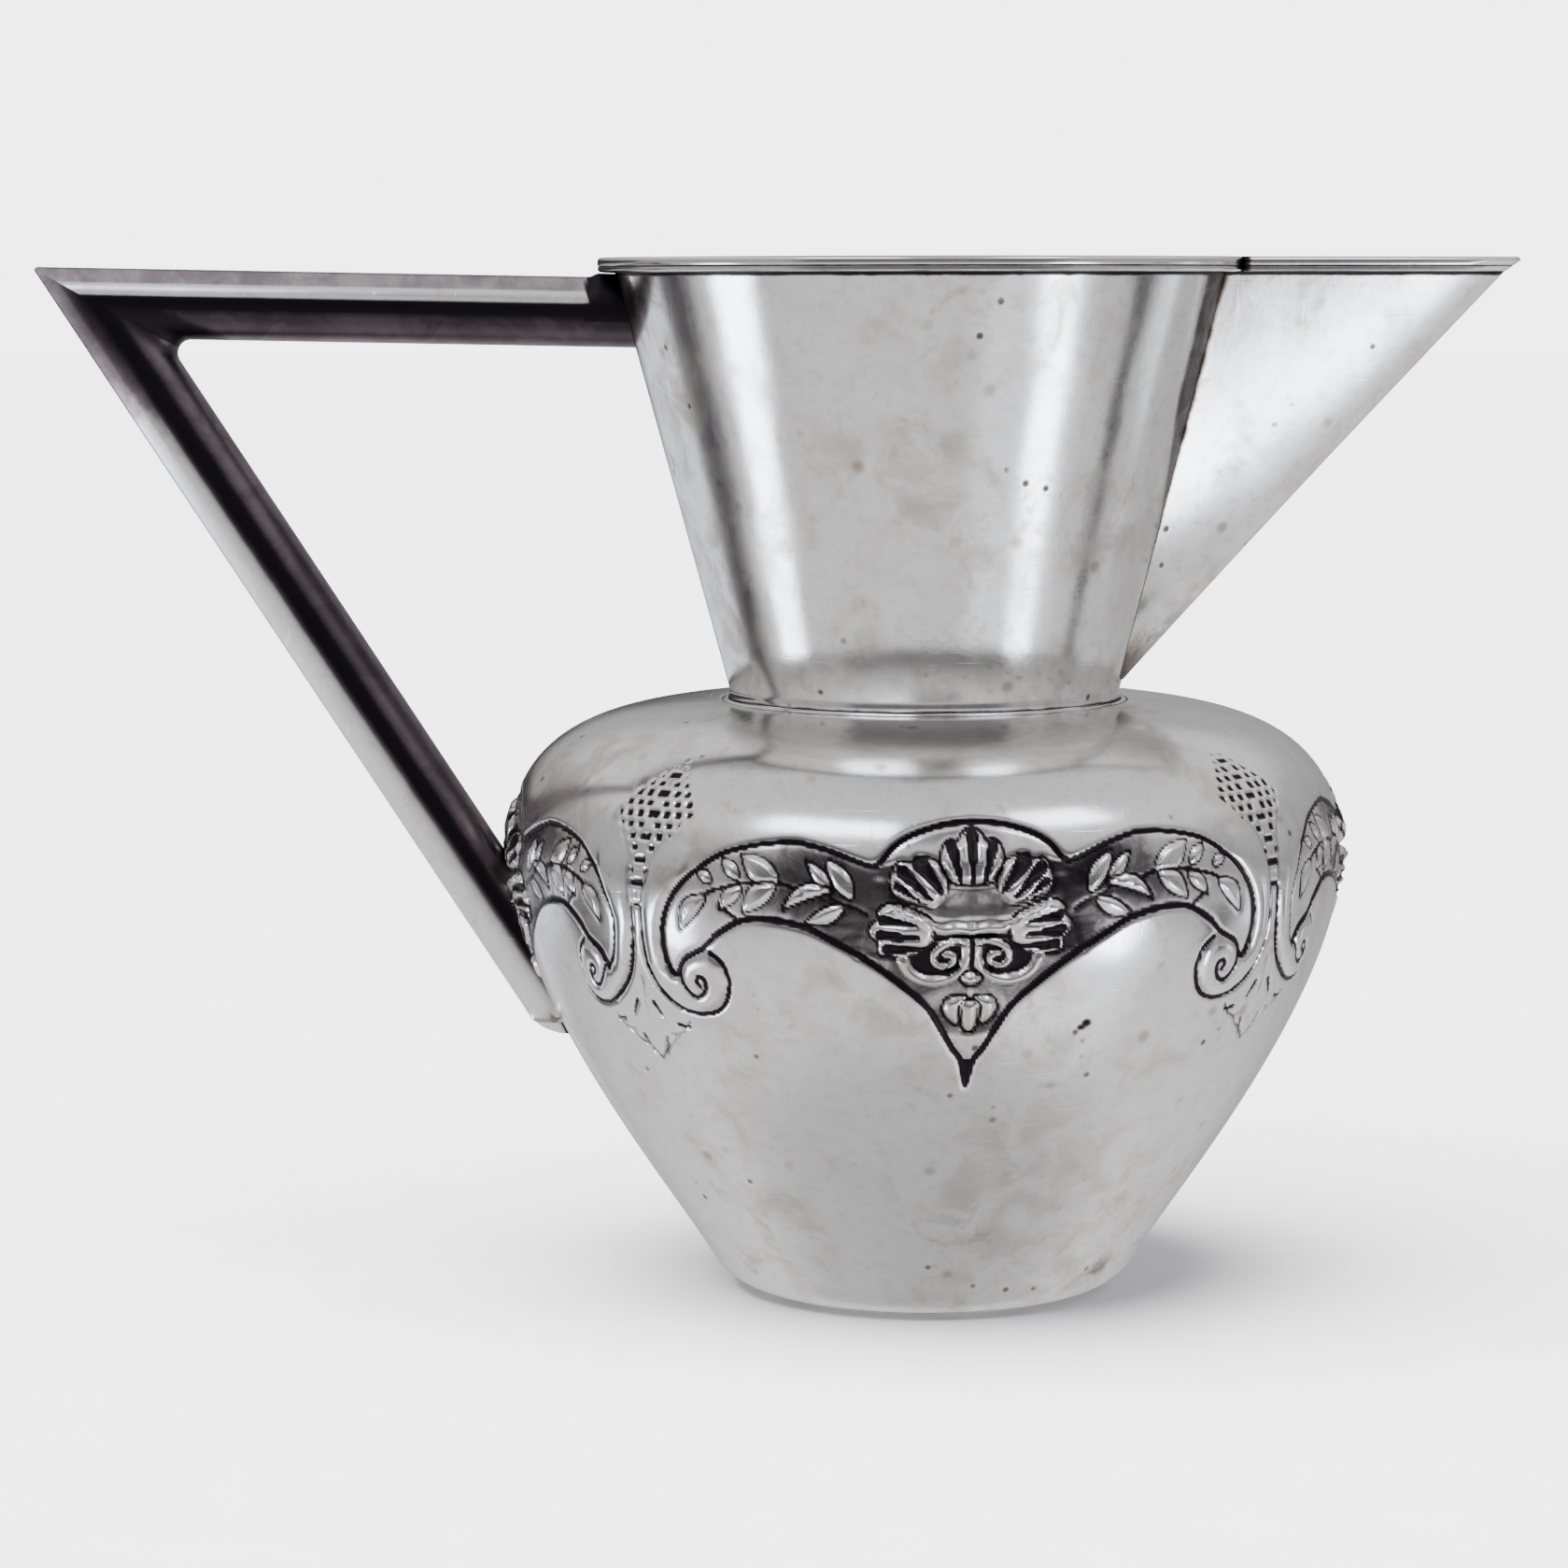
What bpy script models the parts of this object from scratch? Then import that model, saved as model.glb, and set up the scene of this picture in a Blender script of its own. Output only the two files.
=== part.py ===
"""Silver water pitcher: a spun and chased bowl, a flared neck with a soldered spout, and a hollow
angular handle that is soldered under the rim and low on the bowl.

Frame: metres, +Z up. The origin is on the table plane, on the axis of the bowl. +X points to the
spout, and the handle is on -X. The bowl, neck and rim are turned about the axis, the spout is
lofted, and each handle arm is an extruded hollow section that is trimmed to fit.
"""

import math

import bmesh
import bpy
from mathutils import Vector

MM = 0.001

# Clearance between pieces that are soldered together, so that their meshes stay apart.
GAP = 0.3 * MM
SHEET = 1.0 * MM
TURNS = 64
WELD_DISTANCE = 0.01 * MM

# How far a cutter runs past what it cuts.
OVERRUN = 10.0 * MM

# Bowl: a flat foot, a rounded foot corner, a flared wall, the belly and a domed shoulder.
FOOT_FLAT_RADIUS = 29.7 * MM
FOOT_CORNER_RADIUS = 11.4 * MM
FOOT_WALL_ANGLE = math.radians(61.7)
BELLY_RADIUS = 77.0 * MM
BELLY_HEIGHT = 81.1 * MM
LOWER_WALL_PULL = 9.7 * MM
BELLY_PULL_DOWN = 26.7 * MM
BELLY_PULL_UP = 26.4 * MM
SHOULDER_PULL = 15.7 * MM
SHOULDER_DIP = math.radians(1.3)
BASE_PLATE_THICKNESS = 1.2 * MM

# Neck: a straight cone that stands on the shoulder.
NECK_FOOT_RADIUS = 35.5 * MM
NECK_FOOT_HEIGHT = 109.1 * MM
NECK_TOP_RADIUS = 56.7 * MM
NECK_TOP_HEIGHT = 186.9 * MM

# Rim moulding: a flat-topped flange that stands out past the wall on a sloped underside.
HEIGHT = 190.0 * MM
RIM_UNDERSIDE = NECK_TOP_HEIGHT + GAP
RIM_OVERHANG = 3.3 * MM
RIM_CORNER = 0.8 * MM
RIM_EDGE_BOTTOM = 188.2 * MM
RIM_FILLET = 0.6 * MM

# Spout: it meets the neck along two creases. Its keel is straight, and its sides are nearly flat
# as far as the rounded fold, which takes up about FOLD_SHARE of the half width.
KEEL_FOOT = Vector((36.3 * MM, 112.0 * MM))
KEEL_TOP = Vector((105.8 * MM, 186.9 * MM))
CREASE_ANGLE_FOOT = math.radians(16.0)
CREASE_ANGLE_TOP = math.radians(20.0)
FOLD_SHARE = 0.25
SPOUT_FOOT = 110.0 * MM
OPENING_FOOT = 114.5 * MM
SPOUT_LEVELS = 10
SPOUT_SIDE_POINTS = 7
SPOUT_BACK_INSET = 6.0 * MM
OPENING_BACK_INSET = 12.0 * MM
SPOUT_RIM_START = 2.0 * MM

# Handle: one hollow section, used for both arms. Depth runs from its outer face inwards.
SECTION_DEPTH = 12.8 * MM
SECTION_HALF_WIDTH = 6.5 * MM
OUTER_FACE_HALF_WIDTH = 3.9 * MM
CHAMFER_DEPTH = 2.7 * MM
INNER_CORNER_RADIUS = 5.2 * MM
HANDLE_TIP = Vector((-163.2 * MM, 188.5 * MM))
TOP_ARM_TILT = math.radians(1.1)
DIAGONAL_ANGLE = math.radians(-56.95)
TOE_HEIGHT = 47.3 * MM
TOE_CAP_THICKNESS = 2.0 * MM
TOE_CHAMFER_SETBACK = 1.0 * MM
ARM_STOCK_LENGTH = 230.0 * MM
ARM_STOCK_OVERRUN = 40.0 * MM
TRIM_SIZE = 400.0 * MM

PARTS = "silver_water_pitcher"
CUTTERS = "cutters"

SILVER = (0.80, 0.79, 0.76, 1.0)
DARK_SILVER = (0.34, 0.31, 0.31, 1.0)


# ---------------------------------------------------------------- scene helpers


def clear_scene():
    """Remove every object, and make one collection for the parts and one for the cutters."""
    for existing in list(bpy.data.objects):
        bpy.data.objects.remove(existing, do_unlink=True)
    for name in (PARTS, CUTTERS):
        bpy.context.scene.collection.children.link(bpy.data.collections.new(name))


def make_material(name, colour, roughness):
    """A polished metal."""
    material = bpy.data.materials.new(name)
    material.use_nodes = True
    shader = material.node_tree.nodes["Principled BSDF"]
    shader.inputs["Base Color"].default_value = colour
    shader.inputs["Metallic"].default_value = 1.0
    shader.inputs["Roughness"].default_value = roughness
    return material


def add_object(name, data, collection):
    """Link a new object for data to one of the two collections."""
    piece = bpy.data.objects.new(name, data)
    bpy.data.collections[collection].objects.link(piece)
    return piece


def finish_part(piece, colour, roughness=0.22):
    """Give a part its own material and smooth shading with sharp corners."""
    piece.data.materials.clear()
    piece.data.materials.append(make_material(piece.name + "_metal", colour, roughness))
    piece.data.shade_smooth()
    piece.data.set_sharp_from_angle(angle=math.radians(30))
    return piece


def as_cutter(piece):
    """Keep a guide solid out of the model."""
    piece.hide_render = True
    piece.display_type = "WIRE"
    return piece


def combine(piece, cutter, operation="DIFFERENCE"):
    """Trim or join a piece with an exact boolean."""
    modifier = piece.modifiers.new(operation.lower(), "BOOLEAN")
    modifier.operation = operation
    modifier.object = cutter
    modifier.solver = "EXACT"


def turned(name, outline, collection, closed=True):
    """Turn an outline of (radius, height) points, ordered down its outer side, about the axis.

    A closed outline makes a ring, and an open one whose ends lie on the axis makes a solid.
    """
    mesh = bpy.data.meshes.new(name)
    sketch = bmesh.new()
    corners = [sketch.verts.new((radius, 0.0, height)) for radius, height in outline]
    following = corners[1:] + corners[:1] if closed else corners[1:]
    for first, second in zip(corners, following):
        sketch.edges.new((first, second))
    sketch.to_mesh(mesh)
    sketch.free()
    piece = add_object(name, mesh, collection)
    screw = piece.modifiers.new("turn", "SCREW")
    screw.axis = "Z"
    screw.steps = TURNS
    screw.render_steps = TURNS
    screw.use_merge_vertices = True
    screw.merge_threshold = WELD_DISTANCE
    return piece


def face_outwards(mesh):
    """Turn every face of a closed mesh to point out."""
    sketch = bmesh.new()
    sketch.from_mesh(mesh)
    bmesh.ops.recalc_face_normals(sketch, faces=sketch.faces)
    sketch.to_mesh(mesh)
    sketch.free()


def move_to(piece, collection):
    """Put a piece in one of the two collections only."""
    for current in list(piece.users_collection):
        current.objects.unlink(piece)
    bpy.data.collections[collection].objects.link(piece)


def extruded(name, loops, thickness, collection):
    """Extrude closed flat outlines, given as lists of (x, y); an inner loop is a hole."""
    flat = bpy.data.curves.new(name, "CURVE")
    flat.dimensions = "2D"
    flat.fill_mode = "BOTH"
    flat.extrude = thickness / 2
    for loop in loops:
        spline = flat.splines.new("POLY")
        spline.points.add(len(loop) - 1)
        for point, (x, y) in zip(spline.points, loop):
            point.co = (x, y, 0.0, 1.0)
        spline.use_cyclic_u = True
    source = add_object(name + "_outline", flat, collection)
    bpy.context.view_layer.update()
    evaluated = source.evaluated_get(bpy.context.evaluated_depsgraph_get())
    mesh = bpy.data.meshes.new_from_object(evaluated)
    bpy.data.objects.remove(source, do_unlink=True)
    mesh.name = name
    weld = bmesh.new()
    weld.from_mesh(mesh)
    bmesh.ops.remove_doubles(weld, verts=weld.verts, dist=WELD_DISTANCE)
    weld.to_mesh(mesh)
    weld.free()
    return add_object(name, mesh, collection)


# ---------------------------------------------------------------- outlines


def bezier(start, start_pull, end_pull, end, count):
    """Points on a cubic curve, with both ends."""
    points = []
    for step in range(count + 1):
        t = step / count
        s = 1.0 - t
        points.append(
            start * s**3 + start_pull * 3 * s * s * t + end_pull * 3 * s * t * t + end * t**3
        )
    return points


def bowl_outline():
    """The bowl's outer outline, from the neck joint down to the edge of the flat foot."""
    joint = Vector((NECK_FOOT_RADIUS, NECK_FOOT_HEIGHT))
    belly = Vector((BELLY_RADIUS, BELLY_HEIGHT))
    shoulder_pull = joint + Vector((math.cos(SHOULDER_DIP), -math.sin(SHOULDER_DIP))) * SHOULDER_PULL
    shoulder = bezier(joint, shoulder_pull, belly + Vector((0, BELLY_PULL_UP)), belly, 7)

    wall_direction = Vector((math.cos(FOOT_WALL_ANGLE), math.sin(FOOT_WALL_ANGLE)))
    corner_centre = Vector((FOOT_FLAT_RADIUS, FOOT_CORNER_RADIUS))
    wall_foot = corner_centre + Vector((wall_direction.y, -wall_direction.x)) * FOOT_CORNER_RADIUS
    wall = bezier(
        belly,
        belly - Vector((0, BELLY_PULL_DOWN)),
        wall_foot + wall_direction * LOWER_WALL_PULL,
        wall_foot,
        7,
    )
    corner = []
    for step in range(1, 5):
        angle = FOOT_WALL_ANGLE * (1 - step / 4) - math.pi / 2
        offset = Vector((math.cos(angle), math.sin(angle))) * FOOT_CORNER_RADIUS
        corner.append(corner_centre + offset)
    return shoulder + wall[1:] + corner


def offset_outline(points, distance):
    """Move an outline that runs down its outer side inwards by distance, or out if negative."""
    moved = []
    for index, point in enumerate(points):
        before = points[max(index - 1, 0)]
        after = points[min(index + 1, len(points) - 1)]
        along = (after - before).normalized()
        moved.append(point + Vector((along.y, -along.x)) * distance)
    return moved


def neck_radius(height):
    """Outer radius of the neck at a height."""
    share = (height - NECK_FOOT_HEIGHT) / (NECK_TOP_HEIGHT - NECK_FOOT_HEIGHT)
    return NECK_FOOT_RADIUS + share * (NECK_TOP_RADIUS - NECK_FOOT_RADIUS)


def rim_edge(wall_radius):
    """The flange's outer side: points of (radius, height) from the top down to the wall."""
    return [
        (wall_radius + RIM_OVERHANG - RIM_CORNER, HEIGHT),
        (wall_radius + RIM_OVERHANG, HEIGHT - RIM_CORNER),
        (wall_radius + RIM_OVERHANG, RIM_EDGE_BOTTOM),
        (wall_radius + RIM_FILLET, RIM_UNDERSIDE),
    ]


# ---------------------------------------------------------------- bowl and neck


def make_body_shell():
    """The spun bowl, open below for the base plate and above under the neck."""
    outer = bowl_outline()
    inner = offset_outline(outer, SHEET)
    inner[0] = Vector((NECK_FOOT_RADIUS - 1.5 * SHEET, NECK_FOOT_HEIGHT - SHEET))
    inner[-1] = Vector((FOOT_FLAT_RADIUS, SHEET))
    lip = Vector((NECK_FOOT_RADIUS - 1.5 * SHEET, NECK_FOOT_HEIGHT))
    return finish_part(turned("body_shell", [lip] + outer + inner[::-1], PARTS), SILVER)


def make_base_plate():
    """The flat disc that closes the foot."""
    bpy.ops.mesh.primitive_cylinder_add(
        vertices=TURNS,
        radius=FOOT_FLAT_RADIUS - GAP,
        depth=BASE_PLATE_THICKNESS,
        location=(0, 0, BASE_PLATE_THICKNESS / 2),
    )
    plate = bpy.context.object
    plate.name = "base_plate"
    move_to(plate, PARTS)
    return finish_part(plate, SILVER, 0.3)


def make_neck(spout_opening):
    """The flared neck, cut away where the spout opens into it."""
    foot = NECK_FOOT_HEIGHT + GAP
    outline = [
        (NECK_TOP_RADIUS, NECK_TOP_HEIGHT),
        (neck_radius(foot), foot),
        (neck_radius(foot) - SHEET, foot),
        (NECK_TOP_RADIUS - SHEET, NECK_TOP_HEIGHT),
    ]
    neck = turned("neck", outline, PARTS)
    combine(neck, spout_opening)
    return finish_part(neck, SILVER)


# ---------------------------------------------------------------- spout and rims


def fold(across):
    """How far forward a spout's side is, from 0 at the crease (across 1) to 1 at the keel (0)."""
    crease = math.hypot(1.0, FOLD_SHARE)
    return (crease - math.hypot(across, FOLD_SHARE)) / (crease - FOLD_SHARE)


def spout_plan(height, inset):
    """Half of the spout's plan at a height: points from the crease to the nose of the keel."""
    share = (height - KEEL_FOOT.y) / (KEEL_TOP.y - KEEL_FOOT.y)
    crease_angle = CREASE_ANGLE_FOOT + share * (CREASE_ANGLE_TOP - CREASE_ANGLE_FOOT)
    radius = neck_radius(height)
    half_width = radius * math.sin(crease_angle)
    crease_x = radius * math.cos(crease_angle)
    nose_x = KEEL_FOOT.x + share * (KEEL_TOP.x - KEEL_FOOT.x)
    plan = []
    for step in range(SPOUT_SIDE_POINTS + 1):
        across = 1.0 - step / SPOUT_SIDE_POINTS
        plan.append(Vector((crease_x + (nose_x - crease_x) * fold(across), across * half_width)))
    moved = offset_outline(plan, inset)
    moved[-1] = Vector((nose_x - inset, 0.0))
    return moved


def spout_ring(height, inset, back):
    """The whole plan at a height, closed across the neck at x = back."""
    half = spout_plan(height, inset)
    near = [Vector((point.x, -point.y)) for point in half]
    ring = near + half[-2::-1]
    ring.append(Vector((back, half[0].y)))
    ring.append(Vector((back, -half[0].y)))
    return [(point.x, point.y, height) for point in ring]


def loft(name, rings, collection, nose=0):
    """Join rings of the same number of points into a closed solid.

    The quads before the point numbered nose are split along one diagonal, and the rest along the
    other, so that twisted sides come out as mirror images.
    """
    mesh = bpy.data.meshes.new(name)
    build = bmesh.new()
    rows = [[build.verts.new(point) for point in ring] for ring in rings]
    count = len(rows[0])
    for low, high in zip(rows, rows[1:]):
        for index in range(count):
            after = (index + 1) % count
            corners = (low[index], low[after], high[after], high[index])
            first = 0 if index < nose else 1
            build.faces.new([corners[first + step] for step in range(3)])
            build.faces.new([corners[(first + step) % 4] for step in (2, 3, 4)])
    build.faces.new(rows[0][::-1])
    build.faces.new(rows[-1])
    bmesh.ops.recalc_face_normals(build, faces=build.faces)
    build.to_mesh(mesh)
    build.free()
    return add_object(name, mesh, collection)


def spout_solid(name, inset, low, high, back_inset, collection):
    """The spout's outer shape, or with an inset its hollow, from one height to another."""
    rings = []
    for level in range(SPOUT_LEVELS + 1):
        height = low + (high - low) * level / SPOUT_LEVELS
        back = neck_radius(height) * math.cos(CREASE_ANGLE_TOP) - back_inset
        rings.append(spout_ring(height, inset, back))
    return loft(name, rings, collection, nose=SPOUT_SIDE_POINTS)


def neck_core(clearance):
    """A solid cone that fills the neck and stands proud of its outer wall by clearance."""
    low = NECK_FOOT_HEIGHT - OVERRUN
    high = NECK_TOP_HEIGHT + OVERRUN
    outline = [
        (0.0, high),
        (neck_radius(high) + clearance, high),
        (neck_radius(low) + clearance, low),
        (0.0, low),
    ]
    return as_cutter(turned("neck_core", outline, CUTTERS, closed=False))


def make_spout(hollow):
    """The folded spout, trimmed to the neck."""
    spout = spout_solid("spout", 0.0, SPOUT_FOOT, NECK_TOP_HEIGHT, SPOUT_BACK_INSET, PARTS)
    combine(spout, hollow)
    combine(spout, neck_core(GAP))
    return finish_part(spout, SILVER)


def make_neck_rim(spout_opening):
    """The flange on the neck, open at the spout."""
    inner = NECK_TOP_RADIUS - SHEET
    outline = rim_edge(NECK_TOP_RADIUS) + [(inner, RIM_UNDERSIDE), (inner, HEIGHT)]
    rim = turned("neck_rim", outline, PARTS)
    combine(rim, spout_opening)
    return finish_part(rim, SILVER)


def make_spout_rim():
    """The flange on the spout: the same moulding, following the spout's plan."""
    plan = spout_plan(NECK_TOP_HEIGHT, 0.0)
    start = plan[0]
    plan[0] = start + (start - plan[1]).normalized() * SPOUT_RIM_START
    inner = offset_outline(plan, SHEET)
    inner[-1] = Vector((plan[-1].x - SHEET, 0.0))
    section = [(inner, HEIGHT)]
    for overhang, height in rim_edge(0.0):
        edge = offset_outline(plan, -overhang)
        edge[-1] = Vector((plan[-1].x + overhang, 0.0))
        section.append((edge, height))
    section.append((inner, RIM_UNDERSIDE))
    rings = []
    for side in (1, -1):
        stations = range(len(plan)) if side == 1 else range(len(plan) - 2, -1, -1)
        for station in stations:
            rings.append([(e[station].x, side * e[station].y, height) for e, height in section])
    rim = loft("spout_rim", rings, PARTS)
    clear_radius = NECK_TOP_RADIUS + RIM_OVERHANG + GAP
    inside = [
        (0.0, HEIGHT + OVERRUN),
        (clear_radius, HEIGHT + OVERRUN),
        (clear_radius, HEIGHT - OVERRUN),
        (0.0, HEIGHT - OVERRUN),
    ]
    combine(rim, as_cutter(turned("rim_circle", inside, CUTTERS, closed=False)))
    return finish_part(rim, SILVER)


# ---------------------------------------------------------------- handle


def section_loop(inset):
    """The handle's section as (across, depth) points: a faceted outer face, round inner corners."""
    half = SECTION_HALF_WIDTH - inset
    outer_half = OUTER_FACE_HALF_WIDTH - 0.4 * inset
    radius = INNER_CORNER_RADIUS - inset
    right = [(outer_half, inset), (half, CHAMFER_DEPTH + 0.4 * inset)]
    for step in range(4):
        angle = math.radians(30 * step)
        across = half - radius + radius * math.cos(angle)
        depth = SECTION_DEPTH - inset - radius + radius * math.sin(angle)
        right.append((across, depth))
    return right + [(-across, depth) for across, depth in reversed(right)]


def make_arm(name, start, angle, flip, hollow=True):
    """A length of the handle's section whose outer face starts at a point of the XZ plane."""
    loops = [section_loop(0.0), section_loop(SHEET)] if hollow else [section_loop(0.0)]
    arm = extruded(name, loops, ARM_STOCK_LENGTH, PARTS)
    along = Vector((math.cos(angle), 0.0, math.sin(angle)))
    inward = Vector((along.z, 0.0, -along.x)) * flip
    across = inward.cross(along)
    middle = Vector((start.x, 0.0, start.y)) + along * (ARM_STOCK_LENGTH / 2 - ARM_STOCK_OVERRUN)
    for vertex in arm.data.vertices:
        local = vertex.co
        vertex.co = middle + across * local.x + inward * local.y + along * local.z
    face_outwards(arm.data)
    return arm


def half_space(name, point, direction):
    """A large block that fills the side of a plane that direction points to, seen along Y."""
    bpy.ops.mesh.primitive_cube_add(size=TRIM_SIZE)
    block = bpy.context.object
    block.name = name
    move_to(block, CUTTERS)
    normal = Vector((direction.x, 0.0, direction.y)).normalized()
    block.rotation_euler = (0.0, math.atan2(normal.x, normal.z), 0.0)
    block.location = Vector((point.x, 0.0, point.y)) + normal * TRIM_SIZE / 2
    return as_cutter(block)


def bowl_core(clearance):
    """A solid bowl, larger than the real one by clearance."""
    outline = offset_outline(bowl_outline(), -clearance)
    top = (0.0, outline[0].y)
    foot = (0.0, outline[-1].y)
    return as_cutter(turned("bowl_core", [top] + outline + [foot], CUTTERS, closed=False))


def make_handle():
    """Two mitred hollow arms, trimmed to the neck and to the bowl."""
    mitre_angle = (DIAGONAL_ANGLE - TOP_ARM_TILT) / 2
    mitre_normal = Vector((-math.sin(mitre_angle), math.cos(mitre_angle)))
    clearance = mitre_normal * GAP / 2

    top_arm = make_arm("handle_top_arm", HANDLE_TIP, -TOP_ARM_TILT, 1)
    combine(top_arm, half_space("mitre_below", HANDLE_TIP + clearance, -mitre_normal))
    combine(top_arm, neck_core(GAP))
    finish_part(top_arm, DARK_SILVER)

    diagonal = make_arm("handle_diagonal_arm", HANDLE_TIP, DIAGONAL_ANGLE, -1)
    combine(diagonal, half_space("mitre_above", HANDLE_TIP - clearance, mitre_normal))
    combine(diagonal, bowl_core(GAP))
    up = Vector((0.0, 1.0))
    combine(diagonal, half_space("arm_end", up * (TOE_HEIGHT + TOE_CAP_THICKNESS + GAP), -up))
    finish_part(diagonal, DARK_SILVER)


def make_toe_cap():
    """The solid piece that closes the handle's lower end, with its outer corner eased."""
    cap = make_arm("handle_toe_cap", HANDLE_TIP, DIAGONAL_ANGLE, -1, hollow=False)
    up = Vector((0.0, 1.0))
    combine(cap, half_space("cap_top", up * (TOE_HEIGHT + TOE_CAP_THICKNESS), up))
    combine(cap, half_space("cap_foot", up * TOE_HEIGHT, -up))
    run = (HANDLE_TIP.y - TOE_HEIGHT) / math.tan(-DIAGONAL_ANGLE)
    corner = Vector((HANDLE_TIP.x + run, TOE_HEIGHT))
    bisector = DIAGONAL_ANGLE / 2 - math.pi / 2
    outward = Vector((math.cos(bisector), math.sin(bisector)))
    combine(cap, half_space("cap_corner", corner - outward * TOE_CHAMFER_SETBACK, outward))
    combine(cap, bowl_core(GAP))
    finish_part(cap, SILVER)


def main():
    clear_scene()
    make_body_shell()
    make_base_plate()
    opening = as_cutter(
        spout_solid(
            "spout_opening", SHEET, OPENING_FOOT, HEIGHT + SHEET, OPENING_BACK_INSET, CUTTERS
        )
    )
    make_neck(opening)
    make_spout(opening)
    make_neck_rim(opening)
    make_spout_rim()
    make_handle()
    make_toe_cap()


main()
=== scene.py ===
import math

import bmesh
import bpy
import numpy as np
from mathutils import Matrix, Vector


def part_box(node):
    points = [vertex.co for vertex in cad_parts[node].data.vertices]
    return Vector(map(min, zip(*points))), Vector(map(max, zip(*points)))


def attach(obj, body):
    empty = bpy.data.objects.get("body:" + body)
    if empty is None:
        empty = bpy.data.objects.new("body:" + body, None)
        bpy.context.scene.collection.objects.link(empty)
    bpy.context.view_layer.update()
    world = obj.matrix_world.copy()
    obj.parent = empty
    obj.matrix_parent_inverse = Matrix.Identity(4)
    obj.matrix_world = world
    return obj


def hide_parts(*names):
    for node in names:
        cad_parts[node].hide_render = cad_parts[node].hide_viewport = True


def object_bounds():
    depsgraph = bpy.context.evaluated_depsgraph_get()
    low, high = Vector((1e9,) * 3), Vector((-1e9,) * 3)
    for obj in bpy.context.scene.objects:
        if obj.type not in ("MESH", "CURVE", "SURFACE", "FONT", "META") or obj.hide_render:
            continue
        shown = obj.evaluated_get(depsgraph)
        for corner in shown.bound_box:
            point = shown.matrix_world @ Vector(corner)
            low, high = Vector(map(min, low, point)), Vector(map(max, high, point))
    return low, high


# The looks of a silver water pitcher: a chased bowl, a flared neck with a folded spout, rim
# mouldings and an angular hollow handle. Points are worked out in millimetres and handed to
# Blender in metres. Azimuth runs from -Y towards +X, and the spout points to +X.

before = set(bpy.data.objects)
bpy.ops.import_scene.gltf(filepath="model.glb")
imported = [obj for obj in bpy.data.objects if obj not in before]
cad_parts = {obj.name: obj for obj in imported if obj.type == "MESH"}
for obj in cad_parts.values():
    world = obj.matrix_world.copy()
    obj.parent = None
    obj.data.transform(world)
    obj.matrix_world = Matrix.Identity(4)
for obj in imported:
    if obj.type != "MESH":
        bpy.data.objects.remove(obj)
cad_bounds = [list(corner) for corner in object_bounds()]

MM = 0.001


def box_mm(node):
    """A CAD node's lowest and highest corners in millimetres."""
    low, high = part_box(node)
    return np.array(low) / MM, np.array(high) / MM


SHELL_HIGH = box_mm("body_shell")[1]
NECK_LOW, NECK_HIGH = box_mm("neck")
RIM_LOW, RIM_HIGH = box_mm("neck_rim")
SPOUT_HIGH = box_mm("spout")[1]
SPOUT_RIM_HIGH = box_mm("spout_rim")[1]
ARM_HIGH = box_mm("handle_top_arm")[1]
TOE_LOW, TOE_HIGH = box_mm("handle_toe_cap")
PLATE_HIGH = box_mm("base_plate")[1]

SHEET = 1.0

# Bowl outline: a flat foot, a rounded corner, a flared wall, the belly and a domed shoulder.
BELLY_RADIUS = SHELL_HIGH[0]
BELLY_HEIGHT = 81.1
FOOT_FLAT_RADIUS = 29.7
FOOT_CORNER_RADIUS = 11.4
FOOT_WALL_ANGLE = math.radians(61.7)
LOWER_WALL_PULL = 9.7
BELLY_PULL_DOWN = 26.7
BELLY_PULL_UP = 26.4
SHOULDER_PULL = 15.7
SHOULDER_DIP = math.radians(1.3)
SHOULDER_TOP = SHELL_HIGH[2]

# Neck: a straight cone, and the height at which the spout opens into it.
NECK_FOOT_RADIUS = 35.5
NECK_TOP_RADIUS = NECK_HIGH[1]
NECK_FOOT = NECK_LOW[2]
NECK_TOP = NECK_HIGH[2]
NECK_FLARE = 0.7
NECK_FLARE_HEIGHT = 1.8
# How far down from the top the darker wedge beside each crease reaches.
WEDGE_REACH = 55.0
# How dark the painted shadow under the flange is, on the neck and the spout.
FLANGE_SHADOW = 0.9
INSIDE_STAIN = 0.16
# The neck and the spout reach up to SEAT, just inside the flange, so that no gap shows there.
SEAT = RIM_LOW[2] + 0.05
UNDER_FLANGE = (SEAT - 1.0, SEAT - 0.6, SEAT - 0.3, SEAT)
NECK_COLUMNS = 360
NECK_ROWS = 60

# Spout: two creases on the neck, and a folded keel.
KEEL_FOOT = (36.3, 112.0)
KEEL_TOP_RADIUS = SPOUT_HIGH[0]
KEEL_HOLLOW = 0.45
FOLD_SHARE = 0.25
CREASE_FOOT = math.radians(16.0)
CREASE_TOP = math.radians(20.0)
SPOUT_FOOT = 110.6
OPENING_FOOT = 114.5
OPENING_ROUNDING = 9.0
SPOUT_COLUMNS = 96
SPOUT_ROWS = 60

# Rim moulding.
RIM_TOP = RIM_HIGH[2]
RIM_OVERHANG = RIM_HIGH[1] - NECK_TOP_RADIUS
RIM_CORNER = 0.7
NOSE_TAPER = 9.0
FLANGE_STATIONS = 200

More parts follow.
